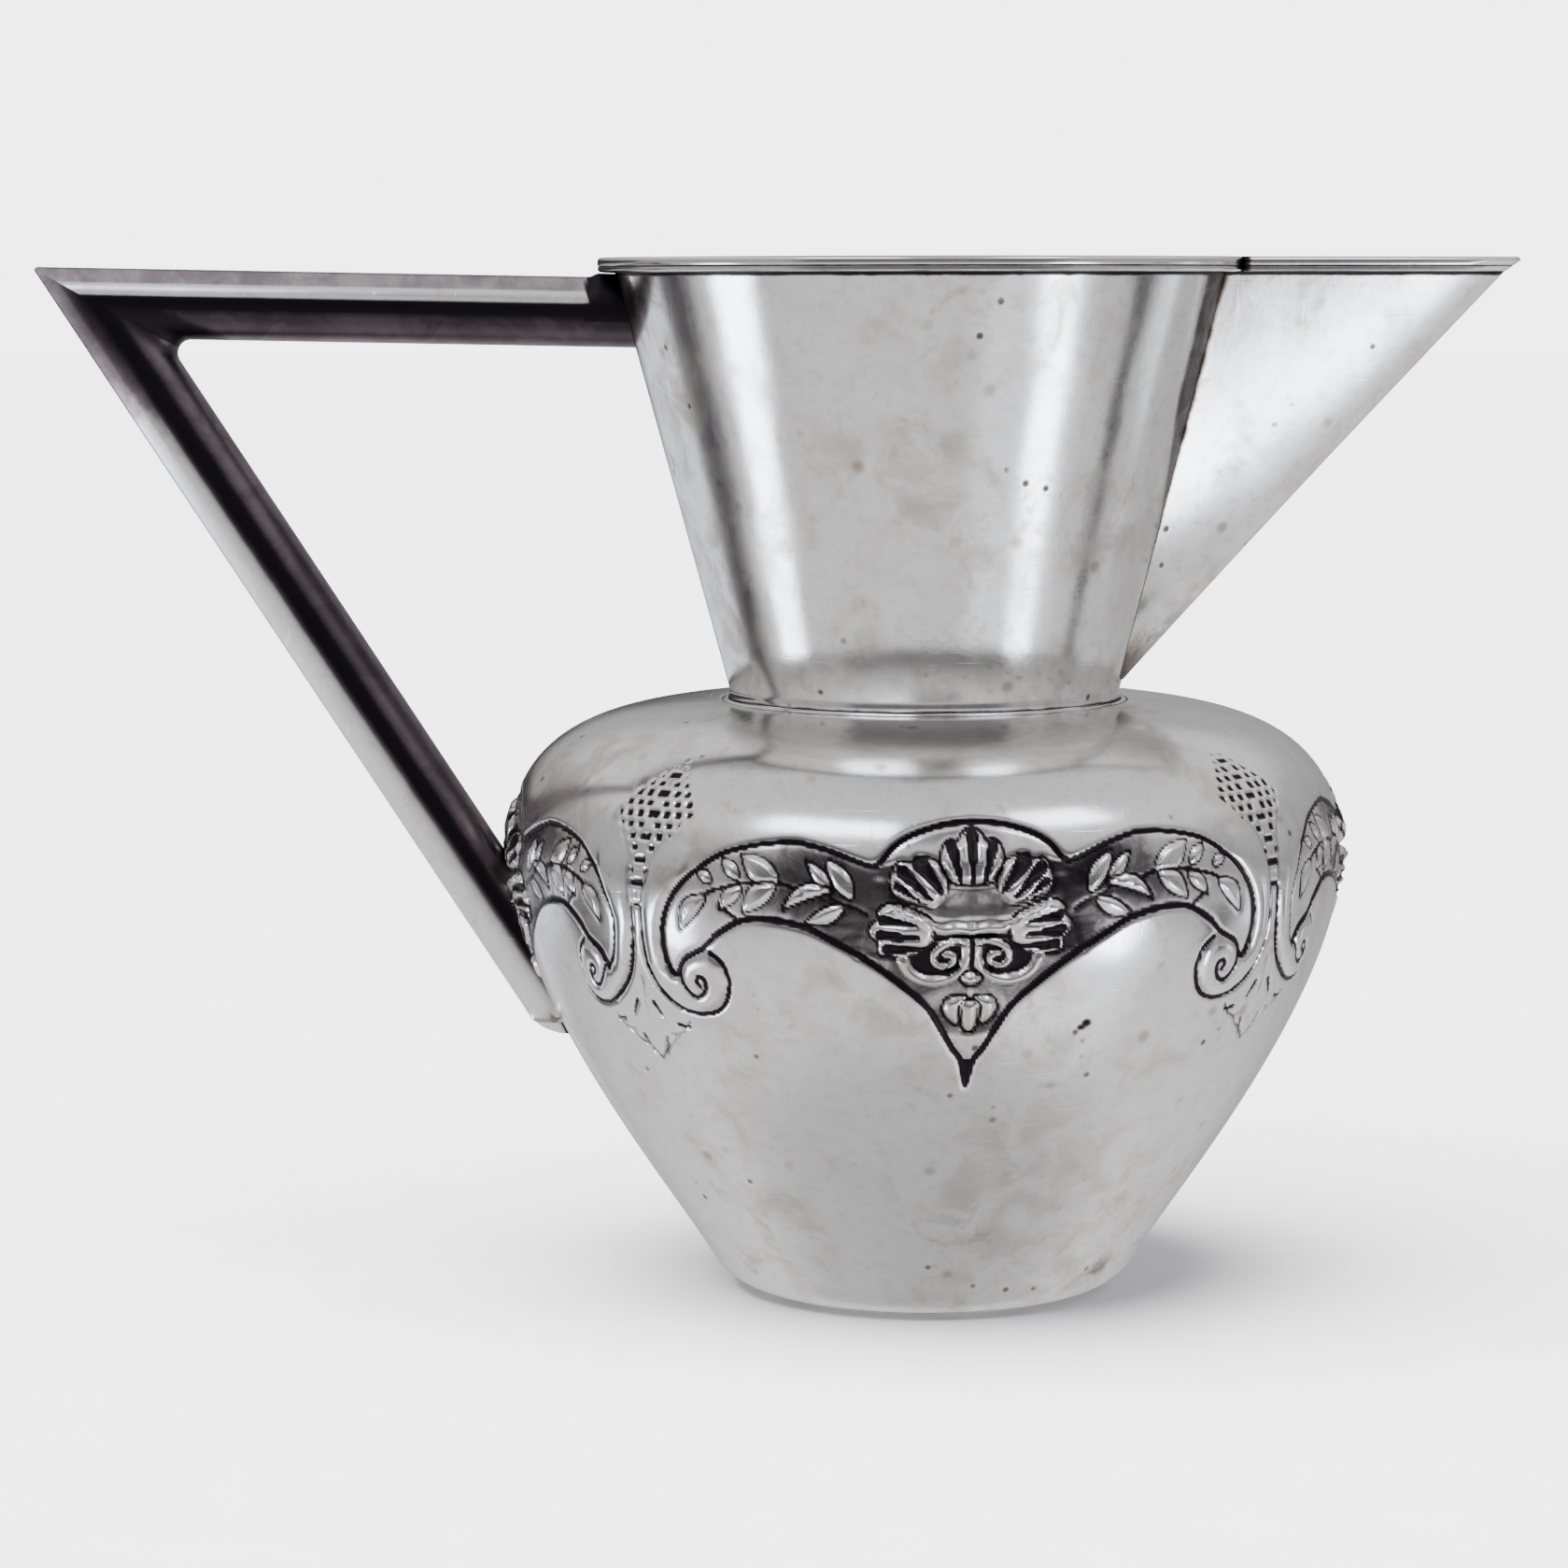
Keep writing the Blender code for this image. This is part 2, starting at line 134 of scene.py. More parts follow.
# Handle: a faceted outer face and rounded inner corners.
SECTION_DEPTH = 12.8
SECTION_HALF_WIDTH = ARM_HIGH[1]
ARM_FOOT = ARM_HIGH[2] - SECTION_DEPTH - 2.0
OUTER_FACE_HALF_WIDTH = 3.9
CHAMFER_DEPTH = 3.5
ROUND_SIDE_DEPTH = 5.4
ROUND_SIDE_POWER = 2.35
FACET_ROUNDING = 0.6
SIDE_ROUNDING = 1.2
CORNER_FILLET = 2.5
TIP_CORNER = np.array([-163.2, 0.0, 188.5])
TIP_ROUNDING = 0.8
# Where the painted shadow under the flange starts on the upper arm's end.
ARM_SHADOW_START = -62.4
SOLDER_RISE = 0.65
SOLDER_FLARE = 0.5
SOLDER_REACH = 1.0
TOP_ARM_ANGLE = math.radians(-1.1)
DIAGONAL_ANGLE = math.radians(-56.95)
MITRE_ANGLE = (DIAGONAL_ANGLE + TOP_ARM_ANGLE) / 2
TOE = TOE_LOW[2]
TOE_TOP = TOE_HIGH[2]
TOE_ROUNDING = 3.6

# Chased band: its own coordinates are u, the distance round the belly from the middle of the
# front panel, and v, the distance along the bowl's outline above the belly.
PANEL_MIDDLE = math.radians(4.5)
PANEL_COUNT = 4
PANEL_WIDTH = 2 * math.pi * BELLY_RADIUS / PANEL_COUNT
BAND_TILT = 1.7
DEEPEST_CUT = 0.8
BAND_TOP = 28.5
JOINT_WIDTH = 3.0
# Stains left by use, each as (azimuth, height, half width, half length, dark).
OLD_MARKS = (
    (21.3, 58.7, 1.0, 0.9, 0.95),
    (20.6, 57.9, 1.0, 0.8, 0.85),
    (19.9, 57.1, 0.9, 0.8, 0.7),
    (17.5, 47.2, 4.5, 1.5, 0.46),
    (-4.0, 61.0, 0.7, 1.6, 0.3),
    (50.0, 7.5, 5.0, 3.0, 0.48),
    (-33.0, 24.0, 5.0, 2.5, 0.25),
    (160.0, 40.0, 3.0, 1.4, 0.4),
    (-120.0, 55.0, 1.6, 1.2, 0.45),
    (95.0, 30.0, 3.2, 1.8, 0.35),
)
JOINT_STAIN = 0.95
BAND_FOOT = -38.0
BAND_STEP = 0.45
BAND_COLUMNS = 1080
PLAIN_COLUMNS = 216
INSIDE_COLUMNS = 108
PLAIN_STEP = 1.6


# ---------------------------------------------------------------- meshes


def add_piece(name, points, faces, finish, sharp=35.0, stain_and_shade=None):
    """Make one closed mesh from points in millimetres, and put it on the model.

    finish is (CAD node that it stands for, material slot in the record, which is not used, material),
    and the last argument is how dark each point is, painted shade included on some pieces.
    """
    stands_for, slot_name, material = finish
    mesh = bpy.data.meshes.new(name)
    mesh.from_pydata((np.asarray(points, float) * MM).tolist(), [], faces)
    if stain_and_shade is not None:
        values = mesh.attributes.new("oxide_and_shade", "FLOAT", "POINT")
        values.data.foreach_set("value", np.asarray(stain_and_shade, np.float32).ravel())
    tidy = bmesh.new()
    tidy.from_mesh(mesh)
    bmesh.ops.remove_doubles(tidy, verts=tidy.verts, dist=0.002 * MM)
    bmesh.ops.recalc_face_normals(tidy, faces=tidy.faces)
    tidy.to_mesh(mesh)
    tidy.free()
    mesh.shade_smooth()
    mesh.set_sharp_from_angle(angle=math.radians(sharp))
    piece = bpy.data.objects.new(name, mesh)
    bpy.context.scene.collection.objects.link(piece)
    mesh.materials.append(material)
    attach(piece, "root")
    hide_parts(stands_for)
    return piece


def quads(rows, columns, start=0, closed=True, flip=False):
    """Faces of a grid of points, row by row, closed round its columns or open."""
    faces = []
    for row in range(rows - 1):
        for column in range(columns if closed else columns - 1):
            after = (column + 1) % columns
            low = start + row * columns
            face = [low + column, low + after, low + columns + after, low + columns + column]
            faces.append(face[::-1] if flip else face)
    return faces


def swept(name, rings, finish, sharp=35.0, stain_and_shade=None):
    """A solid that joins rings of equally many points, with both ends capped."""
    rings = np.asarray(rings, float)
    count, columns = rings.shape[:2]
    faces = quads(count, columns)
    faces.append(list(range(columns)))
    faces.append([(count - 1) * columns + index for index in range(columns)])
    return add_piece(name, rings.reshape(-1, 3), faces, finish, sharp, stain_and_shade)


def walled(name, outer, inner, finish, sharp=35.0, stain_and_shade=None):
    """A sheet between two open grids of points, closed along its edges."""
    rows, columns = outer.shape[:2]
    count = rows * columns
    faces = quads(rows, columns, 0, closed=False)
    faces += quads(rows, columns, count, closed=False, flip=True)
    flat = outer.reshape(-1, 3)
    index = np.arange(count).reshape(rows, columns)
    for edge in (index[-1], index[0], index[:, 0], index[:, -1]):
        for first, second in zip(edge.tolist(), edge[1:].tolist()):
            if np.linalg.norm(flat[first] - flat[second]) > 0.003:
                faces.append([first, second, count + second, count + first])
    return add_piece(name, np.concatenate([flat, inner.reshape(-1, 3)]), faces, finish, sharp, stain_and_shade)


# ---------------------------------------------------------------- outlines


def bezier(start, start_pull, end_pull, end, count):
    """Points on a cubic curve, with both ends."""
    t = np.linspace(0, 1, count + 1)[:, None]
    s = 1 - t
    return start * s**3 + start_pull * 3 * s * s * t + end_pull * 3 * s * t * t + end * t**3


def direction(angle):
    return np.array([math.cos(angle), math.sin(angle)])


def bowl_outline():
    """The bowl's outer outline as (radius, height), finely spaced, from the neck to the foot."""
    joint = np.array([NECK_FOOT_RADIUS, SHOULDER_TOP])
    belly = np.array([BELLY_RADIUS, BELLY_HEIGHT])
    up = np.array([0.0, 1.0])
    shoulder_pull = joint + direction(-SHOULDER_DIP) * SHOULDER_PULL
    shoulder = bezier(joint, shoulder_pull, belly + up * BELLY_PULL_UP, belly, 400)
    wall_direction = direction(FOOT_WALL_ANGLE)
    corner_centre = np.array([FOOT_FLAT_RADIUS, FOOT_CORNER_RADIUS])
    wall_foot = corner_centre + direction(FOOT_WALL_ANGLE - math.pi / 2) * FOOT_CORNER_RADIUS
    wall = bezier(
        belly,
        belly - up * BELLY_PULL_DOWN,
        wall_foot + wall_direction * LOWER_WALL_PULL,
        wall_foot,
        600,
    )
    angles = np.linspace(FOOT_WALL_ANGLE, 0, 60)[1:] - math.pi / 2
    corner = corner_centre + np.stack([np.cos(angles), np.sin(angles)], 1) * FOOT_CORNER_RADIUS
    return np.concatenate([shoulder, wall[1:], corner])


OUTLINE = bowl_outline()
STEPS = np.hypot(*np.diff(OUTLINE, axis=0).T)
BELLY_INDEX = int(np.argmax(OUTLINE[:, 0]))
ALONG = np.concatenate([[0.0], np.cumsum(STEPS)])
ABOVE_BELLY = ALONG[BELLY_INDEX] - ALONG


def on_outline(v):
    """Radius, height and outward normal of the bowl at distances v above the belly."""
    v = np.asarray(v, float)
    radius = np.interp(v, ABOVE_BELLY[::-1], OUTLINE[::-1, 0])
    height = np.interp(v, ABOVE_BELLY[::-1], OUTLINE[::-1, 1])
    slope = np.gradient(OUTLINE, ABOVE_BELLY, axis=0)
    run = np.interp(v, ABOVE_BELLY[::-1], slope[::-1, 0])
    rise = np.interp(v, ABOVE_BELLY[::-1], slope[::-1, 1])
    size = np.hypot(run, rise)
    return radius, height, rise / size, -run / size


def bowl_radius(height):
    """The bowl's outer radius at a height."""
    return np.interp(height, OUTLINE[::-1, 1], OUTLINE[::-1, 0])


def neck_radius(height):
    share = (height - SHOULDER_TOP) / (NECK_TOP - SHOULDER_TOP)
    return NECK_FOOT_RADIUS + share * (NECK_TOP_RADIUS - NECK_FOOT_RADIUS)


def smooth_line(points, closed=False, parts=3):
    """A smooth curve through given points."""
    points = np.asarray(points, float)
    if closed:
        wrapped = np.concatenate([points[-1:], points, points[:2]])
    else:
        first = 2 * points[0] - points[1]
        last = 2 * points[-1] - points[-2]
        wrapped = np.concatenate([[first], points, [last]])
    curve = []
    for a, b, c, d in zip(wrapped, wrapped[1:], wrapped[2:], wrapped[3:]):
        bend = 2 * a - 5 * b + 4 * c - d
        twist = 3 * b - a - 3 * c + d
        for step in range(parts):
            t = step / parts
            curve.append(0.5 * (2 * b + (c - a) * t + bend * t * t + twist * t**3))
    if not closed:
        curve.append(points[-1])
    return np.array(curve)


# ---------------------------------------------------------------- chasing


def ramp(value, start, end):
    """A smooth step from 0 at start to 1 at end."""
    t = np.clip((value - start) / (end - start), 0, 1)
    return t * t * (3 - 2 * t)


class Chasing:
    """Height and darkness of the chased work at points of the band's own coordinates."""

    def __init__(self, across, along):
        self.across = across
        self.along = along
        self.height = np.zeros(len(across))
        self.oxide_and_shade = np.zeros(len(across))

    def near(self, line, margin):
        """The points close to a line, with their distance from it and place along it."""
        low = line.min(0) - margin
        high = line.max(0) + margin
        inside = (self.across > low[0]) & (self.across < high[0])
        inside &= (self.along > low[1]) & (self.along < high[1])
        chosen = np.nonzero(inside)[0]
        x = self.across[chosen]
        y = self.along[chosen]
        best = np.full(len(chosen), 1e9)
        place = np.zeros(len(chosen))
        lengths = np.hypot(*np.diff(line, axis=0).T)
        total = max(lengths.sum(), 1e-6)
        done = 0.0
        for start, end, length in zip(line, line[1:], lengths):
            run = end - start
            t = ((x - start[0]) * run[0] + (y - start[1]) * run[1]) / max(length**2, 1e-9)
            t = np.clip(t, 0, 1)
            away = np.hypot(x - start[0] - run[0] * t, y - start[1] - run[1] * t)
            closer = away < best
            best[closer] = away[closer]
            place[closer] = (done + t[closer] * length) / total
            done += length
        return chosen, best, place

    def within(self, outline, margin):
        """The points in or near a closed outline, with their depth inside it."""
        ring = np.concatenate([outline, outline[:1]])
        chosen, away, _ = self.near(ring, margin)
        x = self.across[chosen]
        y = self.along[chosen]
        crossings = np.zeros(len(chosen), int)
        for (ax, ay), (bx, by) in zip(ring, ring[1:]):
            spans = (ay > y) != (by > y)
            meets = (bx - ax) * (y - ay) / (by - ay if by != ay else 1e-9) + ax
            crossings += spans & (x < meets)
        return chosen, np.where(crossings % 2 == 1, away, -away)

    def stroke(self, line, width, taper):
        """The points near a stroke: distance from it, place along it and its half width there."""
        chosen, away, place = self.near(np.asarray(line, float), width + 1)
        return chosen, away, place, width / 2 * (1 - taper * place)

    def darken(self, chosen, stain_and_shade):
        """Make points at least as dark as the given darkness."""
        self.oxide_and_shade[chosen] = np.maximum(self.oxide_and_shade[chosen], stain_and_shade)

    def cut(self, line, width, depth=0.3, dark=1.0, taper=0.0):
        """A rounded groove along a line. It narrows towards its end by the share taper."""
        chosen, away, _, half = self.stroke(line, width, taper)
        self.height[chosen] -= np.exp(-((away / half) ** 2) * 1.1) * depth
        self.darken(chosen, ramp(away, half * 1.25, half * 0.55) * dark)

    def cut_round(self, outline, width, depth, dark):
        """A rounded groove all the way round an outline."""
        self.cut(np.concatenate([outline, outline[:1]]), width, depth, dark)

    def gouge(self, line, width, depth, dark, taper):
        """A flat-bottomed cut with crisp edges, wide where the line starts."""
        chosen, away, place, half = self.stroke(line, width, taper)
        self.height[chosen] -= ramp(away, half, half * 0.5) * depth * (1 - 0.5 * place)
        self.darken(chosen, ramp(away, half * 1.05, half * 0.8) * dark)

    def ridge(self, line, width, height, taper=0.0):
        """A rounded raised line, polished clean on top."""
        chosen, away, _, half = self.stroke(line, width, taper)
        self.height[chosen] += np.sqrt(np.clip(1 - (away / half) ** 2, 0, 1)) * height
        self.oxide_and_shade[chosen] *= 1 - ramp(away, half * 1.15, half * 0.75)

    def sink(self, outline, depth, dark, weight=None):
        """A sunk ground inside an outline, whose strength may vary from place to place."""
        chosen, inside = self.within(outline, GROUND_EDGE + 1)
        shape = ramp(inside, -GROUND_EDGE * 0.4, GROUND_EDGE)
        strength = weight(self.across[chosen], self.along[chosen]) if weight else 1.0
        self.height[chosen] -= shape * depth * np.clip(strength, 0.25, 1)
        self.darken(chosen, shape * dark * strength)

    def lift(self, outline, height, edge=1.0, crown=0.0):
        """A raised and polished shape inside an outline, with a rounded shoulder."""
        chosen, inside = self.within(outline, edge + 1)
        shape = np.sin(np.clip(inside / edge, 0, 1) * math.pi / 2)
        self.height[chosen] += shape * height + crown * np.clip(inside, 0, 4) / 4
        self.oxide_and_shade[chosen] *= 1 - ramp(inside, -0.1, 0.35)

    def leaf(self, base, tip, width, bend, dark):
        """A pointed leaf from base to tip, with a dark outline and a fine vein."""
        base = np.array(base, float)
        run = np.array(tip, float) - base
        side = np.array([-run[1], run[0]]) / np.linalg.norm(run)
        spine = [base + run * t + side * bend * math.sin(math.pi * t) for t, _ in LEAF_WIDTHS]
        aside = [side * width / 2 * share for _, share in LEAF_WIDTHS]
        left = [point + step for point, step in zip(spine, aside)]
        right = [point - step for point, step in zip(spine, aside)]
        shape = smooth_line(left + right[-2::-1], closed=True)
        self.cut_round(shape, 0.88, 0.16, dark)
        self.lift(shape, 0.42, edge=0.8, crown=0.25)
        self.cut(smooth_line(spine[1:-1]), 0.5, 0.14, 0.35)


def mirrored(points):
    """An outline's right half, from its foot to its middle, closed by its mirror image."""
    points = np.asarray(points, float)
    other = points[::-1] * (-1, 1)
    return np.concatenate([points, other])


GROUND_EDGE = 0.5
# How wide a leaf is along its length, as (place, share of its width).
LEAF_WIDTHS = (
    (0.0, 0.25), (0.12, 0.62), (0.3, 0.95), (0.52, 1.0), (0.75, 0.66), (0.92, 0.24), (1.0, 0.0),
)
ARCH = ((0, 13.9), (4.6, 13.4), (8.3, 12.4), (11.4, 11.1), (13.8, 9.4), (15.6, 7.2), (17, 6.2))
FESTOON_TOP = (
    (17, 6.2), (19, 6.8), (24, 8.7), (27, 9.6), (31, 10.4), (36, 10.1), (40, 9.4), (44, 8.3),
    (46.5, 7.1), (49, 5.5), (52, 3.2), (54, 1), (55.8, -1.7), (57, -4.8), (57.5, -7.5),
    (57.5, -10.3), (57, -12.5), (56, -14.2),
)
FESTOON_RETURN = ((56, -14.2), (55, -13.5), (53.5, -11.3), (51, -9.9), (49, -8.9), (47, -7.2))
FESTOON_FOOT = (
    (46.5, -6.7), (44, -5.1), (41, -3.6), (38, -3.1), (34, -3.3), (31, -3.9), (28, -4.8),
    (24, -6.9), (20, -9.2),
)
POINT_EDGE = (
    (20, -9.2), (16.7, -11.4), (13, -14.3), (9.5, -17.4), (7.2, -20), (5.7, -22.7), (4.3, -25.2),
    (2.8, -27.9), (1.3, -30), (0.5, -33.5), (0, -35.5),
)
VOLUTE = (
    (47.5, -9.6), (45.3, -11.5), (44.5, -14.5), (44.9, -17), (46.3, -19.5), (48.5, -21),
    (51.5, -21.6), (55, -21.2), (58, -19.6), (60.8, -16.5), (62.3, -12.5), (62.4, -9),
)
VOLUTE_EYE = (
    (54.6, -14), (53.8, -16.2), (52.6, -17.6), (51.2, -18), (49.9, -17.2), (49.1, -15.5),
    (49.5, -14.3), (50.6, -14.2), (51, -15.2), (50.4, -15.9),
)
TOP_LOBE = (
    (2.6, 3.0), (4.4, 4.6), (5.3, 6.4), (5.3, 8.2), (4.9, 9.6), (3.8, 10.5), (2.4, 10.2),
    (1.9, 11.3), (0.7, 12.6),
)
UPPER_LOBE = (
    (4.2, 2.6), (5.6, 6.2), (6.8, 7.2), (8.5, 7.8), (9.8, 7.6), (10.4, 6.7), (12.3, 7),
    (13.5, 6), (13.8, 4.8), (14.2, 3.3), (13.4, 1.5), (11.5, 0.2), (9.0, -0.4), (6.4, -0.8),
)
LOWER_LOBE = (
    (7.0, -3.2), (9.5, -1.6), (12.5, -0.5), (14.6, -0.4), (16.1, -1.5), (16.4, -3), (17.7, -4.5),
    (17.5, -6), (16.2, -7.1), (16.4, -8.5), (15.5, -9.5), (12, -9.7), (8.6, -9.0), (6.6, -6.4),
)
SHELL_BAND = ((0, -5.2), (2.4, -4.9), (4.6, -5.1), (6.6, -4.3), (9.5, -2.4), (13.6, -0.7))
# Flutes of the shell, each as (outer end, inner end, width, dark).
FLUTES = (
    ((0, 11.3), (0, 3.0), 2.5, 1.0),
    ((3.6, 9.3), (1.9, 2.8), 2.3, 1.0),
    ((8.9, 6.5), (5.2, 1.6), 3.3, 1.0),
    ((12.0, 5.3), (7.2, 0.6), 2.7, 1.0),
    ((12.9, 2.9), (9.2, 0.4), 1.7, 0.9),
    ((15.3, -3.0), (9.8, -3.9), 2.3, 0.95),
    ((15.7, -5.7), (9.2, -6), 2.4, 1.0),
    ((14.8, -8.3), (7.6, -7.9), 2.3, 1.0),
)
SPIRAL = (
    (0.8, -7.2), (2.6, -7.1), (4.4, -7.5), (6.1, -8.6), (6.7, -10.0), (6.1, -11.3),
    (4.6, -11.7), (3.2, -10.9), (3.3, -9.7), (4.6, -9.4),
)
SPIRAL_BODY = (
    (1.0, -7.6), (0.9, -10), (2, -12.2), (4, -13.6), (6.3, -14.3), (8.8, -13.9), (10.8, -12.6),
    (12.0, -10.3),
)
SPIRAL_GROUND = (
    (0.9, -7.2), (4.4, -6.9), (7.4, -7.4), (9.8, -9.2), (11.4, -10.6), (10.2, -12.4), (7.4, -13.9),
    (4, -13.2), (1.9, -11.8), (0.8, -9.6),
)
SPIRAL_SHADE = ((8.6, -9.8), (8.0, -11.6), (6.2, -12.8), (4, -12.7), (2.4, -11.6))
BUD_SIDE = (
    (0.6, -17.6), (2.6, -17.2), (4.2, -17.8), (4.9, -19.6), (4.3, -21.4), (2.9, -22.7),
    (1.9, -22.4), (1.6, -20),
)
BUD_MIDDLE = ((1.5, -18.4), (1.8, -20.4), (1.5, -22.6), (0.7, -24.2))
KITE_EDGE = (
    (0, 26.8), (4, 21.5), (7.5, 17.8), (9.6, 15), (6, 10.8), (3.2, 7.5), (2.1, 4), (1.4, 0),
    (1.1, -2.5),
)
STEM = ((1.1, -2.5), (1.15, -5), (1.4, -10), (3, -15), (5.4, -18.5), (9, -20.8))
# Short tapering cuts under the kite, each as (line, width, depth, dark).
PALMETTE_CUTS = (
    (((2.2, -20.2), (4.0, -23.0)), 1.2, 0.3, 0.8),
    (((7.4, -24.3), (10.4, -24.7)), 0.9, 0.3, 0.8),
    (((5.0, -26.2), (6.8, -26.6)), 0.8, 0.2, 0.5),
    (((3.2, -27.4), (1.9, -30.8)), 1.1, 0.3, 0.6),
    (((0.0, -15.0), (0.0, -23.5)), 0.6, 0.2, 0.5),
)
BRICK_LENGTH = 2.6
BRICK_ROW = 2.05
PALMETTE = ((10.5, -23.6), (8.6, -25.6), (6.4, -26.6), (4.9, -28.2), (2.4, -29.6), (0, -32))
PANEL_EDGE = (
    (-40, 66), (-32, 66), (-25, 66), (-20, 65.5), (-15, 64.5), (-10, 63.9), (-5, 63.1), (0, 63),
    (15, 61), (26, 59.5), (40, 58.5),
)
# Leaves of the festoon, each as (base, tip, width, bend).
LEAVES = (
    ((20.8, 0.9), (25.4, 7.4), 3.1, 0.3),
    ((24.4, 1.6), (28.8, 7.1), 2.2, 0.2),
    ((24.6, 2.2), (33.0, -1.4), 2.4, 1.3),
    ((22.2, -0.7), (28.9, -3.7), 2.6, -0.3),
    ((34.0, 3.6), (40.8, 8.1), 4.0, -0.4),
    ((41.4, 3.9), (44.6, 7.0), 2.2, 0.2),
    ((34.6, 2.9), (40.4, -2.0), 3.5, 0.5),
    ((40.8, 2.2), (45.0, -1.6), 2.4, 0.3),
    ((46.6, 3.2), (49.6, 4.6), 1.8, 0.2),
    ((48.0, 0.4), (53.2, -5.6), 3.2, 0.9),
)
TWIGS = (
    ((18.0, -2.2), (20, -1), (22, -0.4), (24.2, 0.6), (25.2, 1.8)),
    ((22.0, -1.2), (24, -2.5), (26, -3.4)),
    ((28.6, 1.2), (31.5, 2.6), (34.2, 3.3), (38, 3.2), (41, 3.0)),
    ((41.0, 3.0), (44, 2.2), (47.2, 1.2), (49, -0.4)),
    ((45, -0.5), (43.5, -2), (42, -3)),
)


def ground_weight(across, along):
    """How dark the sunk ground is: near black beside the shell, fading out along the festoon."""
    fading = 1 - 0.62 * ramp(across, 24, 44)
    plain = ramp(along, -24.2, -25.4) * ramp(along, -30.8, -29.6)
    return fading * (1 - 0.9 * plain)


def chase_grounds(work):
    """The sunk grounds of the festoon, the pointed drop and the shell's frame."""
    festoon = smooth_line(np.concatenate([FESTOON_TOP, FESTOON_RETURN, FESTOON_FOOT]))
    festoon = np.concatenate([festoon, [(14, -10), (10, 0), (13, 7)]])
    work.sink(festoon, 0.42, 0.64, ground_weight)
    work.sink(np.concatenate([smooth_line(ARCH), [(17.2, 4), (0, 2)]]), 0.30, 0.06)
    work.sink(np.concatenate([[(0, -3), (18, -3)], POINT_EDGE]), 0.42, 0.52, ground_weight)


def oval(height, half_width, half_height, count):
    """An oval on the panel's middle line, drawn with a small gap."""
    angles = np.linspace(0, 6.1, count)
    return np.stack([half_width * np.cos(angles), height + half_height * np.sin(angles)], 1)


def chase_shell(work):
    """The scallop shell: three kinds of fluted lobe round a hollow, over two spirals."""
    for lobe, height in ((UPPER_LOBE, 0.85), (LOWER_LOBE, 0.85), (mirrored(TOP_LOBE), 0.9)):
        outline = smooth_line(lobe, closed=True)
        work.cut_round(outline, 1.0, 0.2, 0.95)
        work.lift(outline, height, edge=1.1, crown=0.5)
    for start, end, width, dark in FLUTES:
        work.gouge(smooth_line((start, end), parts=4), width, 0.85, dark, taper=0.7)
    chosen, inside = work.within(oval(-0.9, 6.9, 3.6, 30), 2)
    x = work.across[chosen]
    y = work.along[chosen]
    work.height[chosen] -= ramp(inside, -1.5, 3.4) * 0.75
    pool = 0.5 * ramp(inside, -1.1, 1.2) * ramp(y, -4.6, -2.2)
    work.oxide_and_shade[chosen] = np.maximum(work.oxide_and_shade[chosen] * (1 - pool), pool)
    glint = np.exp(-(((x - 3.2) / 1.7) ** 2) - ((y + 4.3) / 0.9) ** 2)
    work.height[chosen] += glint * 0.5
    work.ridge(smooth_line(SHELL_BAND), 1.7, 0.5, taper=0.4)
    work.cut(((0, -6.5), (6.6, -6.4)), 0.9, 0.4, 1.0)


def chase_spirals(work):
    """The pair of spirals, the bead and the bud under the shell."""
    work.sink(smooth_line(SPIRAL_GROUND, closed=True), 0.3, 0.95)
    work.ridge(smooth_line(SPIRAL_BODY), 2.0, 0.85)
    work.ridge(smooth_line(SPIRAL, parts=4), 1.25, 0.8)
    work.cut(smooth_line(SPIRAL_SHADE), 1.0, 0.5, 1.0)
    work.cut(((0, -6.6), (0, -11.8)), 0.9, 0.6, 1.0)
    bead = oval(-13.9, 1.8, 1.35, 20)
    work.cut(bead, 1.0, 0.3, 1.0)
    work.lift(bead, 0.9, edge=1.3)
    side = smooth_line(BUD_SIDE, closed=True)
    middle = smooth_line(mirrored(BUD_MIDDLE), closed=True)
    for petal in (side, middle):
        work.cut_round(petal, 0.9, 0.2, 1.0)
    work.lift(side, 0.8, edge=1.2, crown=0.3)
    work.cut_round(middle, 0.7, 0.25, 0.9)
    work.lift(middle, 0.5, edge=1.0, crown=0.3)


def chase_festoon(work):
    """The leafy festoon and its bounding lines."""
    for twig in TWIGS:
        work.cut(smooth_line(twig), 0.8, 0.2, 0.85)
    for index, (base, tip, width, bend) in enumerate(LEAVES):
        work.leaf(base, tip, width, bend, 0.95 if index < 4 else 0.8)
    work.cut(smooth_line(ARCH, parts=4), 1.15, 0.35, 1.0)
    edges = ((FESTOON_TOP, 1.0, 0.35), (FESTOON_RETURN, 1.1, 0.35), (FESTOON_FOOT, 1.3, 0.35),
             (POINT_EDGE, 1.35, 0.4))
    for line, width, depth in edges:
        work.cut(smooth_line(line), width, depth, 1.0)
    work.cut(((0, -30.6), (0, -34.6)), 1.6, 0.4, 1.0, taper=0.6)


def chase_ribbon(work):
    """The plain rounded ribbon between the kite and the festoon, which curls into the volute."""
    ribbon = np.concatenate([
        [(50, 8.5)], FESTOON_TOP[10:17], FESTOON_RETURN[1:4], [(47.5, -9.4)], VOLUTE[1:11],
        [(62.2, -8), (61.9, -2.5), (61.2, 2), (59, 7), (54.5, 11.5)],
    ])
    chosen, inside = work.within(ribbon, 1)
    swell = np.sin(np.clip(inside / 2.4, 0, 1) * math.pi / 2) * ramp(work.along[chosen], 11, 2)
    work.height[chosen] += 0.62 * swell
    work.oxide_and_shade[chosen] *= ramp(inside, 0.6, -0.1)
    work.cut(smooth_line(VOLUTE), 1.0, 0.3, 0.95)
    work.cut(smooth_line(VOLUTE_EYE, parts=4), 0.95, 0.4, 0.9)


